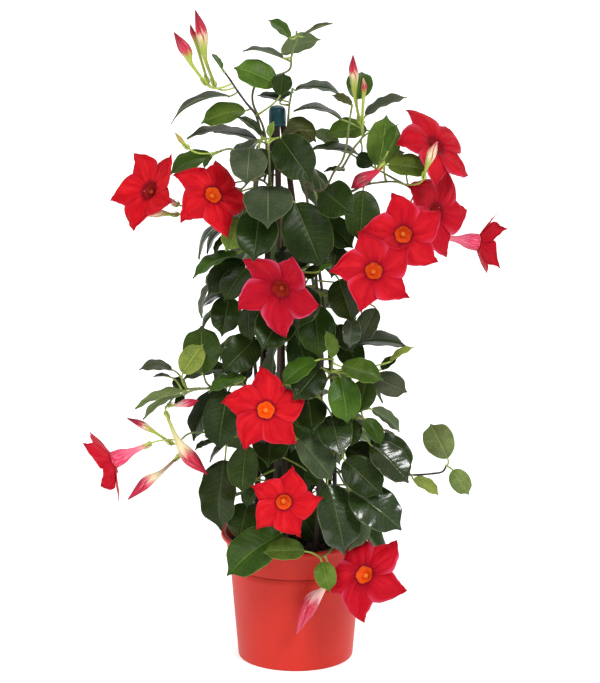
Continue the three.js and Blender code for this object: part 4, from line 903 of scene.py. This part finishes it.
# tone, then the places across and up of the blade's foot and tip, the width that shows (negative
# where the underside does), and how far its middle stands out; then, where they matter, the arch and
# how much nearer the tip is than the foot
LEAVES = [
    # low front, over the pot's lip
    ("bright", 20, 296, -14, 271, 20, 94), ("dark", 28, 292, 1, 260, 33, 80),
    ("fresh", 25, 99, 33, 70, 22, 88), ("fresh", 9, 106, -32, 104, 22, 104),
    ("bright", -14, 124, -69, 81, 41, 90),
    ("gloss", 32, 172, 48, 101, 43, 92), ("gloss", 55, 166, 106, 127, 42, 84),
    ("mid", -48, 211, -53, 163, 31, 78), ("dark", -24, 220, -27, 192, 37, 84),
    ("grey", 6, 213, 40, 172, 30, 96), ("gloss", 36, 241, 45, 202, 35, 90),
    ("dark", 45, 200, 83, 165, 36, 88), ("gloss", 76, 211, 113, 174, 32, 82),
    ("dark", 50, 206, 93, 190, 29, 76), ("grey", 61, 148, 54, 100, -27, 78),
    ("fresh", 37, 299, 31, 325, 13, 98), ("bright", 46, 290, 87, 276, 23, 92),
    ("bright", 44, 285, 51, 238, 33, 86),
    ("dark", 13, 258, 17, 224, 34, 78), ("grey", 76, 248, 104, 225, -13, 74),
    ("mid", 66, 242, 83, 216, 17, 76), ("dark", 57, 242, 56, 215, 20, 64),
    ("mid", 71, 276, 63, 244, 26, 64), ("dark", 81, 216, 118, 178, 36, 66),
    ("dark", -71, 196, -75, 125, 38, 44), ("dark", -43, 172, -49, 149, 15, 62),
    ("mid", -48, 152, -57, 115, 34, 66), ("grey", 73, 280, 107, 266, 25, 56),
    ("dark", 85, 287, 101, 299, 10, 60), ("light", 94, 295, 118, 309, 7, 64),
    ("grey", 86, 231, 98, 213, 7, 58), ("mid", 11, 186, 23, 172, 14, 80),
    # centre
    ("dark", 25, 466, 54, 442, 39, 74), ("grey", -27, 468, -27, 428, 50, 92),
    ("dark", -15, 516, 16, 472, 41, 80), ("dark", -2, 456, 24, 392, 50, 84),
    ("dark", -36, 440, -42, 389, 43, 84, BLADE_ARCH, 26), ("mid", 67, 464, 63, 413, 35, 74),
    ("dark", 43, 376, 57, 333, 34, 82), ("bright", 23, 384, 36, 391, 5, 90),
    ("dark", 6, 375, 21, 386, 12, 82), ("dark", 10, 374, 3, 331, 37, 74),
    ("gloss", 55, 338, 54, 308, 19, 80), ("grey", 82, 352, 68, 318, 22, 56),
    ("dark", -11, 348, -33, 306, 41, 68), ("dark", -5, 411, 3, 380, 38, 62),
    ("light", -53, 435, -69, 404, 26, 66), ("mid", 19, 350, 24, 298, 38, 60),
    ("mid", 30, 436, 57, 407, 28, 52), ("dark", 41, 406, 35, 374, 26, 50),
    ("dark", 53, 311, 106, 309, 15, 56, 0.12), ("dark", 41, 331, 57, 304, 20, 56),
    ("dark", -39, 318, -73, 285, 36, 56), ("dark", -47, 354, -45, 320, 20, 60),
    ("dark", -47, 295, -49, 270, 14, 52), ("bright", -51, 279, -87, 265, 13, 66),
    ("dark", -53, 272, -69, 286, 9, 58),
    ("mid", 46, 322, 62, 290, 28, 34), ("dark", -22, 216, -20, 170, 36, 10),
    # left of the column
    ("mid", -47, 447, -94, 401, 7, 52, 0.14), ("bright", -58, 402, -102, 377, 13, 50, 0.1),
    ("dark", -71, 416, -84, 398, 7, 44), ("dark", -49, 388, -71, 355, 26, 54),
    ("dark", -47, 398, -85, 364, 26, 40), ("dark", -67, 355, -74, 315, 31, 48),
    ("grey", -86, 373, -94, 338, 6, 30), ("light", -112, 283, -92, 312, 24, 72),
    ("mid", -93, 287, -94, 335, 38, 56), ("grey", -123, 287, -156, 287, 11, 48, 0.12),
    ("grey", -125, 280, -142, 280, 3, 44), ("dark", -110, 266, -122, 279, 13, 58),
    ("soft", -108, 267, -155, 249, 9, 62), ("soft", -115, 262, -153, 237, 7, 64),
    ("dark", -109, 265, -117, 253, 9, 50), ("dark", -67, 265, -76, 206, 38, 60),
    ("dark", -73, 264, -107, 212, 24, 50), ("mid", -63, 289, -108, 279, 14, 36),
    ("dark", -82, 215, -101, 207, 6, 48), ("dark", -67, 214, -90, 190, 6, 52),
    # upper left
    ("grey", -45, 509, -48, 472, 38, 60), ("dark", -35, 506, -25, 477, 15, 48),
    ("light", -27, 512, -23, 527, 7, 62), ("dark", -33, 518, -57, 537, 9, 46),
    ("fresh", -45, 545, -89, 532, 22, 36), ("bright", -79, 502, -121, 483, 19, 50),
    ("mid", -83, 498, -91, 486, 6, 42), ("dark", -38, 514, -81, 521, 9, 40),
    ("olive", -39, 516, -103, 518, 9, 30, 0.1), ("grey", -66, 558, -124, 532, 6, 20, 0.14),
    ("bright", -72, 584, -82, 599, 4, 28),
    # top
    ("olive", -14, 517, 17, 523, 8, 44, 0.16), ("olive", -7, 534, 21, 513, 20, 22),
    ("fresh", -19, 570, -61, 586, 28, 20), ("dark", -15, 558, -12, 580, 21, 32),
    ("dark", -13, 554, -38, 558, 8, 36), ("dark", -16, 553, -2, 563, 5, 26),
    ("dark", -5, 565, 42, 559, 10, 14, 0.12), ("dark", 46, 535, -2, 544, 7, 22, 0.12),
    ("bright", -5, 615, -27, 633, 12, 16), ("olive", 3, 615, 32, 628, 4, 4),
    ("soft", -14, 601, 25, 615, -18, -12), ("grey", -12, 596, -52, 603, 6, 12, 0.08),
    # upper right
    ("bright", 89, 498, 99, 525, 10, 54), ("fresh", 83, 494, 91, 544, 34, 44),
    ("fresh", 87, 490, 129, 484, 23, 36), ("dark", 81, 490, 63, 496, 17, 24),
    ("grey", 91, 494, 108, 503, -10, 22), ("mid", 67, 501, 17, 505, 9, 32),
    ("soft", 47, 507, 22, 522, -14, 8), ("fresh", 71, 525, 30, 522, 21, -2),
    ("grey", 69, 539, 111, 557, 11, 12, 0.08), ("olive", 56, 549, 36, 558, 9, 34),
    ("bright", 61, 555, 66, 584, 27, 6), ("dark", 53, 485, 33, 484, 5, 30),
    # far right shoot
    ("soft", 152, 198, 135, 233, 31, 22), ("soft", 155, 190, 171, 165, 21, 26),
    ("light", 114, 180, 139, 164, 13, 46),
]
BACK_LEAVES, BACK_LOWEST, BACK_HIGHEST, BACK_SPREAD = 80, 150.0, 555.0, 215.0
INNER_LEAVES, INNER_LOWEST, INNER_HIGHEST = 60, 165.0, 520.0
DRAW_FACTOR, DRAW_RANGE = 16807, 2147483647
SPACING, PERCHES_TRIED, LONGEST_STALK, STALK_START = 5, 12, 95, 9


def leaf_finish():
    """Waxy green, from the tone that each leaf carries: a pale midrib, side veins that leave it at a slant
    and curve forward, a thin pale margin, the blade quilted between the veins, and a paler underside."""
    material, shader, place, uv = finish_of(
        "leaf", Subsurface_Weight=0.04, Subsurface_Scale=0.002, Subsurface_Radius=(0.4, 1.0, 0.2))
    tint, shine, under = mark(shader, "tint", "Color"), mark(shader, "shine"), mark(shader, "under")
    u, v, _ = node("SeparateXYZ", uv).outputs
    out = calc("ABSOLUTE", calc("SUBTRACT", v, 0.5))
    bent = product(calc("POWER", out, 1.25), 0.42)
    wobble = product(noise(uv, 6.0, 2.0), 0.02)
    row = product(calc("ADD", calc("SUBTRACT", u, bent), wobble), VEIN_PAIRS)
    near_vein = calc("PINGPONG", row, 0.5)
    vein = falling(near_vein, 0.0, 0.07)
    patches = mottle(place, 45.0, 520.0, 0.35)
    shown = product(falling(out, 0.3, 0.46), rising(patches, 0.35, 0.65))
    midrib = falling(out, 0.004, 0.016)
    net = node("TexVoronoi", place, 420.0, places=("Vector", "Scale"))
    net.feature = "DISTANCE_TO_EDGE"
    mesh_lines = falling(net.outputs["Distance"], 0.0, 0.12)
    deeper = mixed(1.0, tint, (0.62, 0.66, 0.6), "MULTIPLY")
    lighter = mixed(1.0, tint, (1.5, 1.35, 1.3), "MULTIPLY")
    rib = mixed(1.0, mixed(1.0, tint, (0.032, 0.04, 0.015), "ADD"), (2.5, 2.3, 2.0), "MULTIPLY")
    pale = calc("MAXIMUM", product(midrib, 0.6), product(rising(out, 0.476, 0.492), 0.7))
    upper = coated(mixed(rising(patches, 0.3, 0.72), deeper, lighter),
                   (product(mesh_lines, 0.05), rib), (product(vein, shown, 0.3), rib), (pale, rib))
    lines = calc("MAXIMUM", product(midrib, 0.8), product(vein, 0.3))
    lower = mixed(lines, mixed(0.5, tint, (0.15, 0.2, 0.1)), (0.3, 0.36, 0.16))
    rough = linear(patches, 0.2, calc("SUBTRACT", shine, 0.1))
    height = linear(mesh_lines, -0.06, product(rising(near_vein, 0.0, 0.42), shown))
    fill(shader, Base_Color=mixed(under, upper, lower), Roughness=linear(under, 0.2, rough),
         Specular_IOR_Level=calc("MAXIMUM", linear(shine, -4.0, 1.33), 0.08),
         Normal=relief(product(height, linear(under, -1.6, 1.0)), 0.12))
    return material


def blade_width(u):
    """Half the blade's width, as a share of its widest: broad, blunt at the foot, with a drip tip."""
    u = np.clip(u, 0, 1)
    broad = np.clip(np.sin(np.pi * u ** 0.9), 0, 1) ** 0.52
    tip = np.clip((u - 0.8) / 0.16, 0, 1)
    return broad * (1 - 0.72 * tip * tip * (3 - 2 * tip))


def front_leaf(foot_x, foot_up, tip_x, tip_up, wide, towards, arch=BLADE_ARCH, rise=None):
    """The blade that shows so long and so wide: it is tilted to the front until its true length fits,
    and rolled about its midrib until its true width does."""
    run = math.hypot(tip_x - foot_x, tip_up - foot_up)
    shown, under = abs(wide), wide < 0
    broad = min(shown / BLADE_ASPECT, BLADE_LONGEST)
    long = max(run, broad) if rise is None else math.hypot(run, rise)
    full = max(shown, BLADE_ASPECT * long)
    depth = rise
    if rise is None:
        depth = math.sqrt(long * long - run * run) * (1 if (tip_up > foot_up) == under else -1)
    way = unit(direction(tip_x - foot_x, tip_up - foot_up, depth))
    face = unit(OUT - (OUT @ way) * way) * (-1 if under else 1)
    side = np.cross(way, face)
    roll = math.acos(shown / full)
    lifts = 2 * side @ UP + side[0] * np.sign(foot_x) * 0.5 + side @ OUT * 0.1
    normal = face * math.cos(roll) + side * math.sin(roll) * np.sign(lifts)
    middle = at(((foot_x + tip_x) / 2, (foot_up + tip_up) / 2, towards))
    return dict(foot=middle - way * long / 2, way=way, normal=normal, long=long, wide=full, arch=arch,
                slide=-OUT)


def blade_point(leaf, u, v):
    """The plain blade at u, from foot to tip, and v, -1 to 1 across it: lifted by a parabola along its
    length, and folded up from the midrib."""
    half = leaf["wide"] / 2 * blade_width(u)
    side = np.cross(leaf["normal"], leaf["way"])
    lift = leaf["arch"] * leaf["long"] * 4 * u * (1 - u) + BLADE_FOLD * np.abs(v) * half
    return (leaf["foot"] + (u * leaf["long"])[..., None] * leaf["way"] + lift[..., None] * leaf["normal"]
            + (v * half)[..., None] * side)


def is_clear(points, gap):
    """No point lies in the pot or the compost, and none within the gap of a point that is placed."""
    if not len(points):
        return True
    reach, margin = np.hypot(points[:, 0], points[:, 1]), LEAF_GAPS[1]
    low = points[:, 2] < SOIL_TOP + margin + SOIL_LUMP
    in_pot = (points[:, 2] < POT_HEIGHT + margin) & (reach < POT_LIP + margin) & (
        low | (reach > POT_FLARE - POT_WALL - margin))
    near = cloud[((cloud > points.min(0) - gap) & (cloud < points.max(0) + gap)).all(1)]
    return not in_pot.any() and (not len(near) or ((points[:, None] - near) ** 2).sum(-1).min() >= gap * gap)


def settle(leaf, moves, gaps):
    """Moves the leaf back or forward, or along its blade, until its blade and a stalk are both clear."""
    sample_u = np.append(1.0, np.repeat((np.arange(8) + 0.8) / 8, 7))
    sample_v = np.append(0.0, np.tile(0.31 * np.arange(-3, 4), 8))
    for gap in gaps:
        for back, on in moves:
            moved = dict(leaf, foot=leaf["foot"] + leaf["slide"] * back + leaf["way"] * on)
            samples = blade_point(moved, sample_u, sample_v)
            if not is_clear(samples, gap):
                continue
            ways = moved["foot"] - perch_points
            reach = np.linalg.norm(ways, axis=1)
            cost = reach * (1.5 - 0.5 * (ways @ leaf["way"]) / (reach + 0.001))
            for perch in np.argsort(cost, kind="stable")[:PERCHES_TRIED]:
                root = perch_points[perch]
                count = math.ceil(reach[perch] / SPACING)
                stalk = root + (moved["foot"] - root) * (np.arange(1, count + 1) / count)[:, None]
                stalk = stalk[np.linalg.norm(stalk - root, axis=1) > STALK_START]
                if cost[perch] < LONGEST_STALK and is_clear(stalk, gap):
                    occupy(np.concatenate([samples, stalk]))
                    return dict(moved, root=root, vine=perch_vines[perch])
    return None


def back_leaf(index, draw):
    """A leaf that hangs out and down behind the canes: its bearing by the golden angle, the rest from
    a seeded draw."""
    z = BACK_LOWEST + (BACK_HIGHEST - BACK_LOWEST) * (index + draw()) / BACK_LEAVES
    bearing = math.radians(180 + (index * GOLDEN_ANGLE % 360 / 360 - 0.5) * BACK_SPREAD)
    droop = math.radians(25 + 50 * draw())
    outwards = np.array([math.sin(bearing), -math.cos(bearing), 0])
    skew = (draw() - 0.5) * 1.1
    way = outwards * math.cos(droop) + np.array([-outwards[1], outwards[0], 0]) * skew
    way = unit(way - (0, 0, math.sin(droop)))
    normal = np.array([0, 0, 1]) + 0.9 * outwards
    normal = unit(normal - (normal @ way) * way)
    long = 44 + 16 * draw()
    t = (z - SOIL_TOP) / (CROWN - SOIL_TOP)
    reach = 52 - 26 * t * t + 14 * draw()
    return dict(foot=np.array([CAP_ACROSS * t, 0, z]) + reach * outwards, way=way, normal=normal,
                long=long, wide=BLADE_ASPECT * long, arch=0.1, slide=-outwards)


def inner_leaf(index, draw):
    """A leaf that hangs nearly straight down within the ring of vines, its upper face outwards."""
    z = INNER_LOWEST + (INNER_HIGHEST - INNER_LOWEST) * (index + draw()) / INNER_LEAVES
    bearing = math.radians(index * GOLDEN_ANGLE)
    outwards = np.array([math.sin(bearing), -math.cos(bearing), 0])
    way = np.array([-outwards[1], outwards[0], 0]) * (draw() - 0.5) * 1.2
    way = unit(way + outwards * 0.35 * draw() - (0, 0, 1))
    normal = unit(outwards - (outwards @ way) * way)
    long = 50 + 14 * draw()
    t = (z - SOIL_TOP) / (CROWN - SOIL_TOP)
    reach = 12 + 18 * draw()
    return dict(foot=np.array([CAP_ACROSS * t, 0, z]) + reach * outwards, way=way, normal=normal,
                long=long, wide=BLADE_ASPECT * long, arch=0.06, slide=outwards)


for throat, way, side, other, radius, forward in bloom_frames:
    for share in (0.25, 0.42, 0.6, 0.78, 0.95):
        count = int(30 * share + 0.5) + 4
        angle = 2 * np.pi * np.arange(count) / count
        occupy(throat + forward * share * share * way + radius * share * (
            np.cos(angle)[:, None] * side + np.sin(angle)[:, None] * other))
    occupy(spaced(np.stack([throat - TUBE_LENGTH * way, throat]), 4))
    angle = 2 * np.pi * np.arange(6) / 6
    occupy(throat - 10 * way + 6 * (np.cos(angle)[:, None] * side + np.sin(angle)[:, None] * other))
for row, *_ in BUDS.values():
    occupy(spaced(at(row), 4))
for ends in cane_ends:
    occupy(spaced(ends, 5))
angle = 2 * np.pi * np.arange(8) / 8
cap_ring = np.stack([CAP_ACROSS + (CAP_RADIUS - 1) * np.cos(angle), (CAP_RADIUS - 1) * np.sin(angle)], -1)
for z in (CAP_TOP - 8, CAP_TOP - 4, CAP_TOP):
    occupy(np.column_stack([cap_ring, np.full(8, z)]))

slides = (0, 4, -4, 8, -8, 12, 16, -12, 20, 24, 28, 32, 36, 40)
front_moves = [(back, on) for back in slides for on in (0, 5, -5)]
leaves = [(tone, settle(front_leaf(*row), front_moves, LEAF_GAPS)) for tone, *row in LEAVES]
state = 43


def draw():
    """The next number of a seeded run, from 0 to 1."""
    global state
    state = state * DRAW_FACTOR % DRAW_RANGE
    return state / DRAW_RANGE


back_tones = ("dark", "mid", "bright", "olive", "dark", "gloss", "mid")
# painted light: the leaves inside the ring get mostly lighter tones, to lift the shade that lies there
inner_tones = ("mid", "bright", "mid", "dark", "mid")
back_moves = ((0, 0), (5, 0), (10, 0), (15, 0))
inner_moves = ((0, 0), (5, 0), (10, 0), (-5, 0), (0, 8), (5, 8), (0, -8))
for index in range(BACK_LEAVES):
    leaves.append((back_tones[index % 7], settle(back_leaf(index, draw), back_moves, LEAF_GAPS[:1])))
for index in range(INNER_LEAVES):
    leaves.append((inner_tones[index % 5], settle(inner_leaf(index, draw), inner_moves, LEAF_GAPS)))

stem_line = np.concatenate([points[1:-1].mean(1) for skins in stem_skins.values()
                            for points, *_ in skins if points.shape[1] > 8])
blade_u = np.concatenate([[0.0, 0.006, 0.02], np.linspace(0.05, 0.95, 22), [0.975, 0.99, 0.998]])[:, None]
blade_v = np.array([0.05, 0.18, 0.4, 0.62, 0.82, 0.95, 1.0])
blade_v = np.concatenate([-blade_v[::-1], [0], blade_v])[None]
leaf_skins = {name: [] for name in VINES}
sway = np.random.default_rng(7)
for tone, leaf in leaves:
    if leaf is None:
        continue
    vine = vine_names[leaf["vine"]]
    half = leaf["wide"] / 2 * blade_width(blade_u)
    side = np.cross(leaf["normal"], leaf["way"])
    phase, waves, curl = sway.uniform((0, 2.0, -0.02), (6.28, 3.4, 0.05))
    # arched along, folded at the midrib, waved at the margins and over the blade, curled at the tip
    lift = leaf["arch"] * leaf["long"] * 4 * blade_u * (1 - blade_u)
    lift = lift + half * (0.25 * np.abs(blade_v) - 0.11 * blade_v ** 2)
    lift = lift + 0.05 * half * blade_v ** 2 * np.sin(2 * np.pi * waves * blade_u + phase * np.sign(blade_v))
    lift = lift + 0.012 * leaf["long"] * np.sin(2 * np.pi * (0.45 * waves * blade_u + 0.3 * blade_v) + phase)
    lift = lift - curl * leaf["long"] * np.clip((blade_u - 0.7) / 0.3, 0, 1) ** 2
    lift = lift - RIB_DEPTH * (blade_v == 0)
    top = (leaf["foot"] + (blade_u * leaf["long"])[..., None] * leaf["way"] + lift[..., None] * leaf["normal"]
           + (blade_v * half)[..., None] * side)
    thick = BLADE_THICK + 0.9 * (1 - 0.7 * blade_u) * np.exp(-(blade_v * half / 0.8) ** 2)
    colour, shine = TONES[tone]
    tint = np.array([*(np.array(colour) * sway.uniform(0.82, 1.2) * sway.uniform(0.92, 1.08, 3)), 1.0])
    leaf_skins[vine].append(sheet(top, leaf["normal"], thick, blade_u, blade_v[0] / 2 + 0.5,
                                  tint=tint[None, None], shine=shine))
    root = stem_line[np.argmin(np.linalg.norm(stem_line - leaf["root"], axis=1))]
    end = leaf["foot"] + 1.5 * leaf["way"] - 0.5 * leaf["normal"]
    knee = end - leaf["way"] * min(9, 0.4 * np.linalg.norm(end - root)) - leaf["normal"]
    t = np.linspace(0, 1, 12)[:, None]
    radii = np.interp(t[:, 0], (0, 0.15, 0.8, 1), (1.5, 1.0, 0.9, 1.0))
    stem_skins[vine].append(skin(tube(bend(root, knee, end, t), radii, 8), wood=-0.1))


def stem_finish():
    """Green, smooth young growth that turns to brown, cracked bark with age."""
    material, shader, place, _ = finish_of("vine stem")
    patches = mottle(place, 70.0, 700.0, 0.5)
    age = linear(calc("SUBTRACT", patches, 0.5), 0.6, mark(shader, "wood"))
    colour = colour_ramp(calc("ADD", age, 0.2), (0.0, (0.34, 0.42, 0.06)), (0.2, (0.13, 0.2, 0.03)),
                         (0.45, (0.09, 0.08, 0.025)), (0.7, (0.06, 0.034, 0.02)), (1.0, (0.03, 0.016, 0.013)))
    cracks = noise(place, 420.0, 4.0, 0.65, (1, 1, 0.15))
    fill(shader, Base_Color=colour, Roughness=linear(rising(age, 0.1, 0.7), 0.35, 0.42),
         Normal=relief(product(cracks, rising(age, 0.2, 0.8)), 0.5))
    return material


leaf_material, stem_material = leaf_finish(), stem_finish()
for name in VINES:
    place_name = name.removeprefix("vine_")
    for made in (piece(f"stems_{place_name}", stem_skins[name], stem_material),
                 piece(f"leaves_{place_name}", leaf_skins[name], leaf_material)):
        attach(made, "root")
        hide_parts(name)

# ---- floor, light and camera --------------------------------------------------------------------
# A plain pale floor under an even sky, one large soft light from the upper right, weaker ones from
# the left and from behind, and a small lamp for the gloss. The camera stands far off, a little above.

FLOOR_HALF, SKY_LIGHT, CENTRE = 30, 0.42, (0.0, 0.0, 0.35)
# where each lamp shines from, its strength and how many degrees wide it looks
LAMPS = {"key": ((1.3, -1.8, 2.6), 2.0, 18), "fill": ((-2.0, -2.0, 2.2), 0.9, 50),
         "rear": ((0.7, 2.2, 1.9), 0.8, 50), "sparkle": ((-0.7, -1.6, 2.4), 0.35, 5)}
CAMERA_AIM, CAMERA_DISTANCE, SENSOR, FOCAL_LENGTH, FARTHEST = (0.0045, 0.0, 0.3298), 10, 36.0, 527.0, 60.0


def stage_finish():
    material, shader, place, _ = finish_of(
        "pale floor", Roughness=0.9, Emission_Color=(1, 1, 1), Emission_Strength=SKY_LIGHT)
    fill(shader, Base_Color=mixed(noise(place, 3.0), (0.93, 0.93, 0.925), (0.96, 0.96, 0.955)))
    return material


floor_mesh = bpy.data.meshes.new("floor")
floor_mesh.from_pydata([(x * FLOOR_HALF, y * FLOOR_HALF, 0) for x, y in ((-1, -1), (1, -1), (1, 1), (-1, 1))],
                       [], [(0, 1, 2, 3)])
floor_mesh.materials.append(stage_finish())
floor = bpy.data.objects.new("floor", floor_mesh)
bpy.context.scene.collection.objects.link(floor)

world = bpy.data.worlds.new("studio")
world.use_nodes = True
for label, value in (("Color", (1.0, 1.0, 1.0, 1)), ("Strength", SKY_LIGHT)):
    world.node_tree.nodes["Background"].inputs[label].default_value = value
bpy.context.scene.world = world
bpy.context.scene.view_settings.view_transform = "Standard"


def aimed(name, data, place, target):
    """An object whose local -Z axis points from its place at the target."""
    made = bpy.data.objects.new(name, data)
    back = unit(np.subtract(place, target))
    side = unit(np.cross((0.0, 0.0, 1.0), back))
    turn = np.eye(4)
    turn[:3, :3] = np.stack([side, np.cross(back, side), back], -1)
    turn[:3, 3] = place
    made.matrix_world = Matrix(turn.tolist())
    bpy.context.scene.collection.objects.link(made)
    return made


for name, (place, strength, spread) in LAMPS.items():
    lamp = bpy.data.lights.new(name, "SUN")
    lamp.energy, lamp.angle = strength, math.radians(spread)
    aimed(name, lamp, place, CENTRE)

camera_data = bpy.data.cameras.new("camera")
camera_data.sensor_width, camera_data.lens, camera_data.clip_end = SENSOR, FOCAL_LENGTH, FARTHEST
bpy.context.scene.camera = aimed("camera", camera_data, CAMERA_AIM + CAMERA_DISTANCE * OUT, CAMERA_AIM)
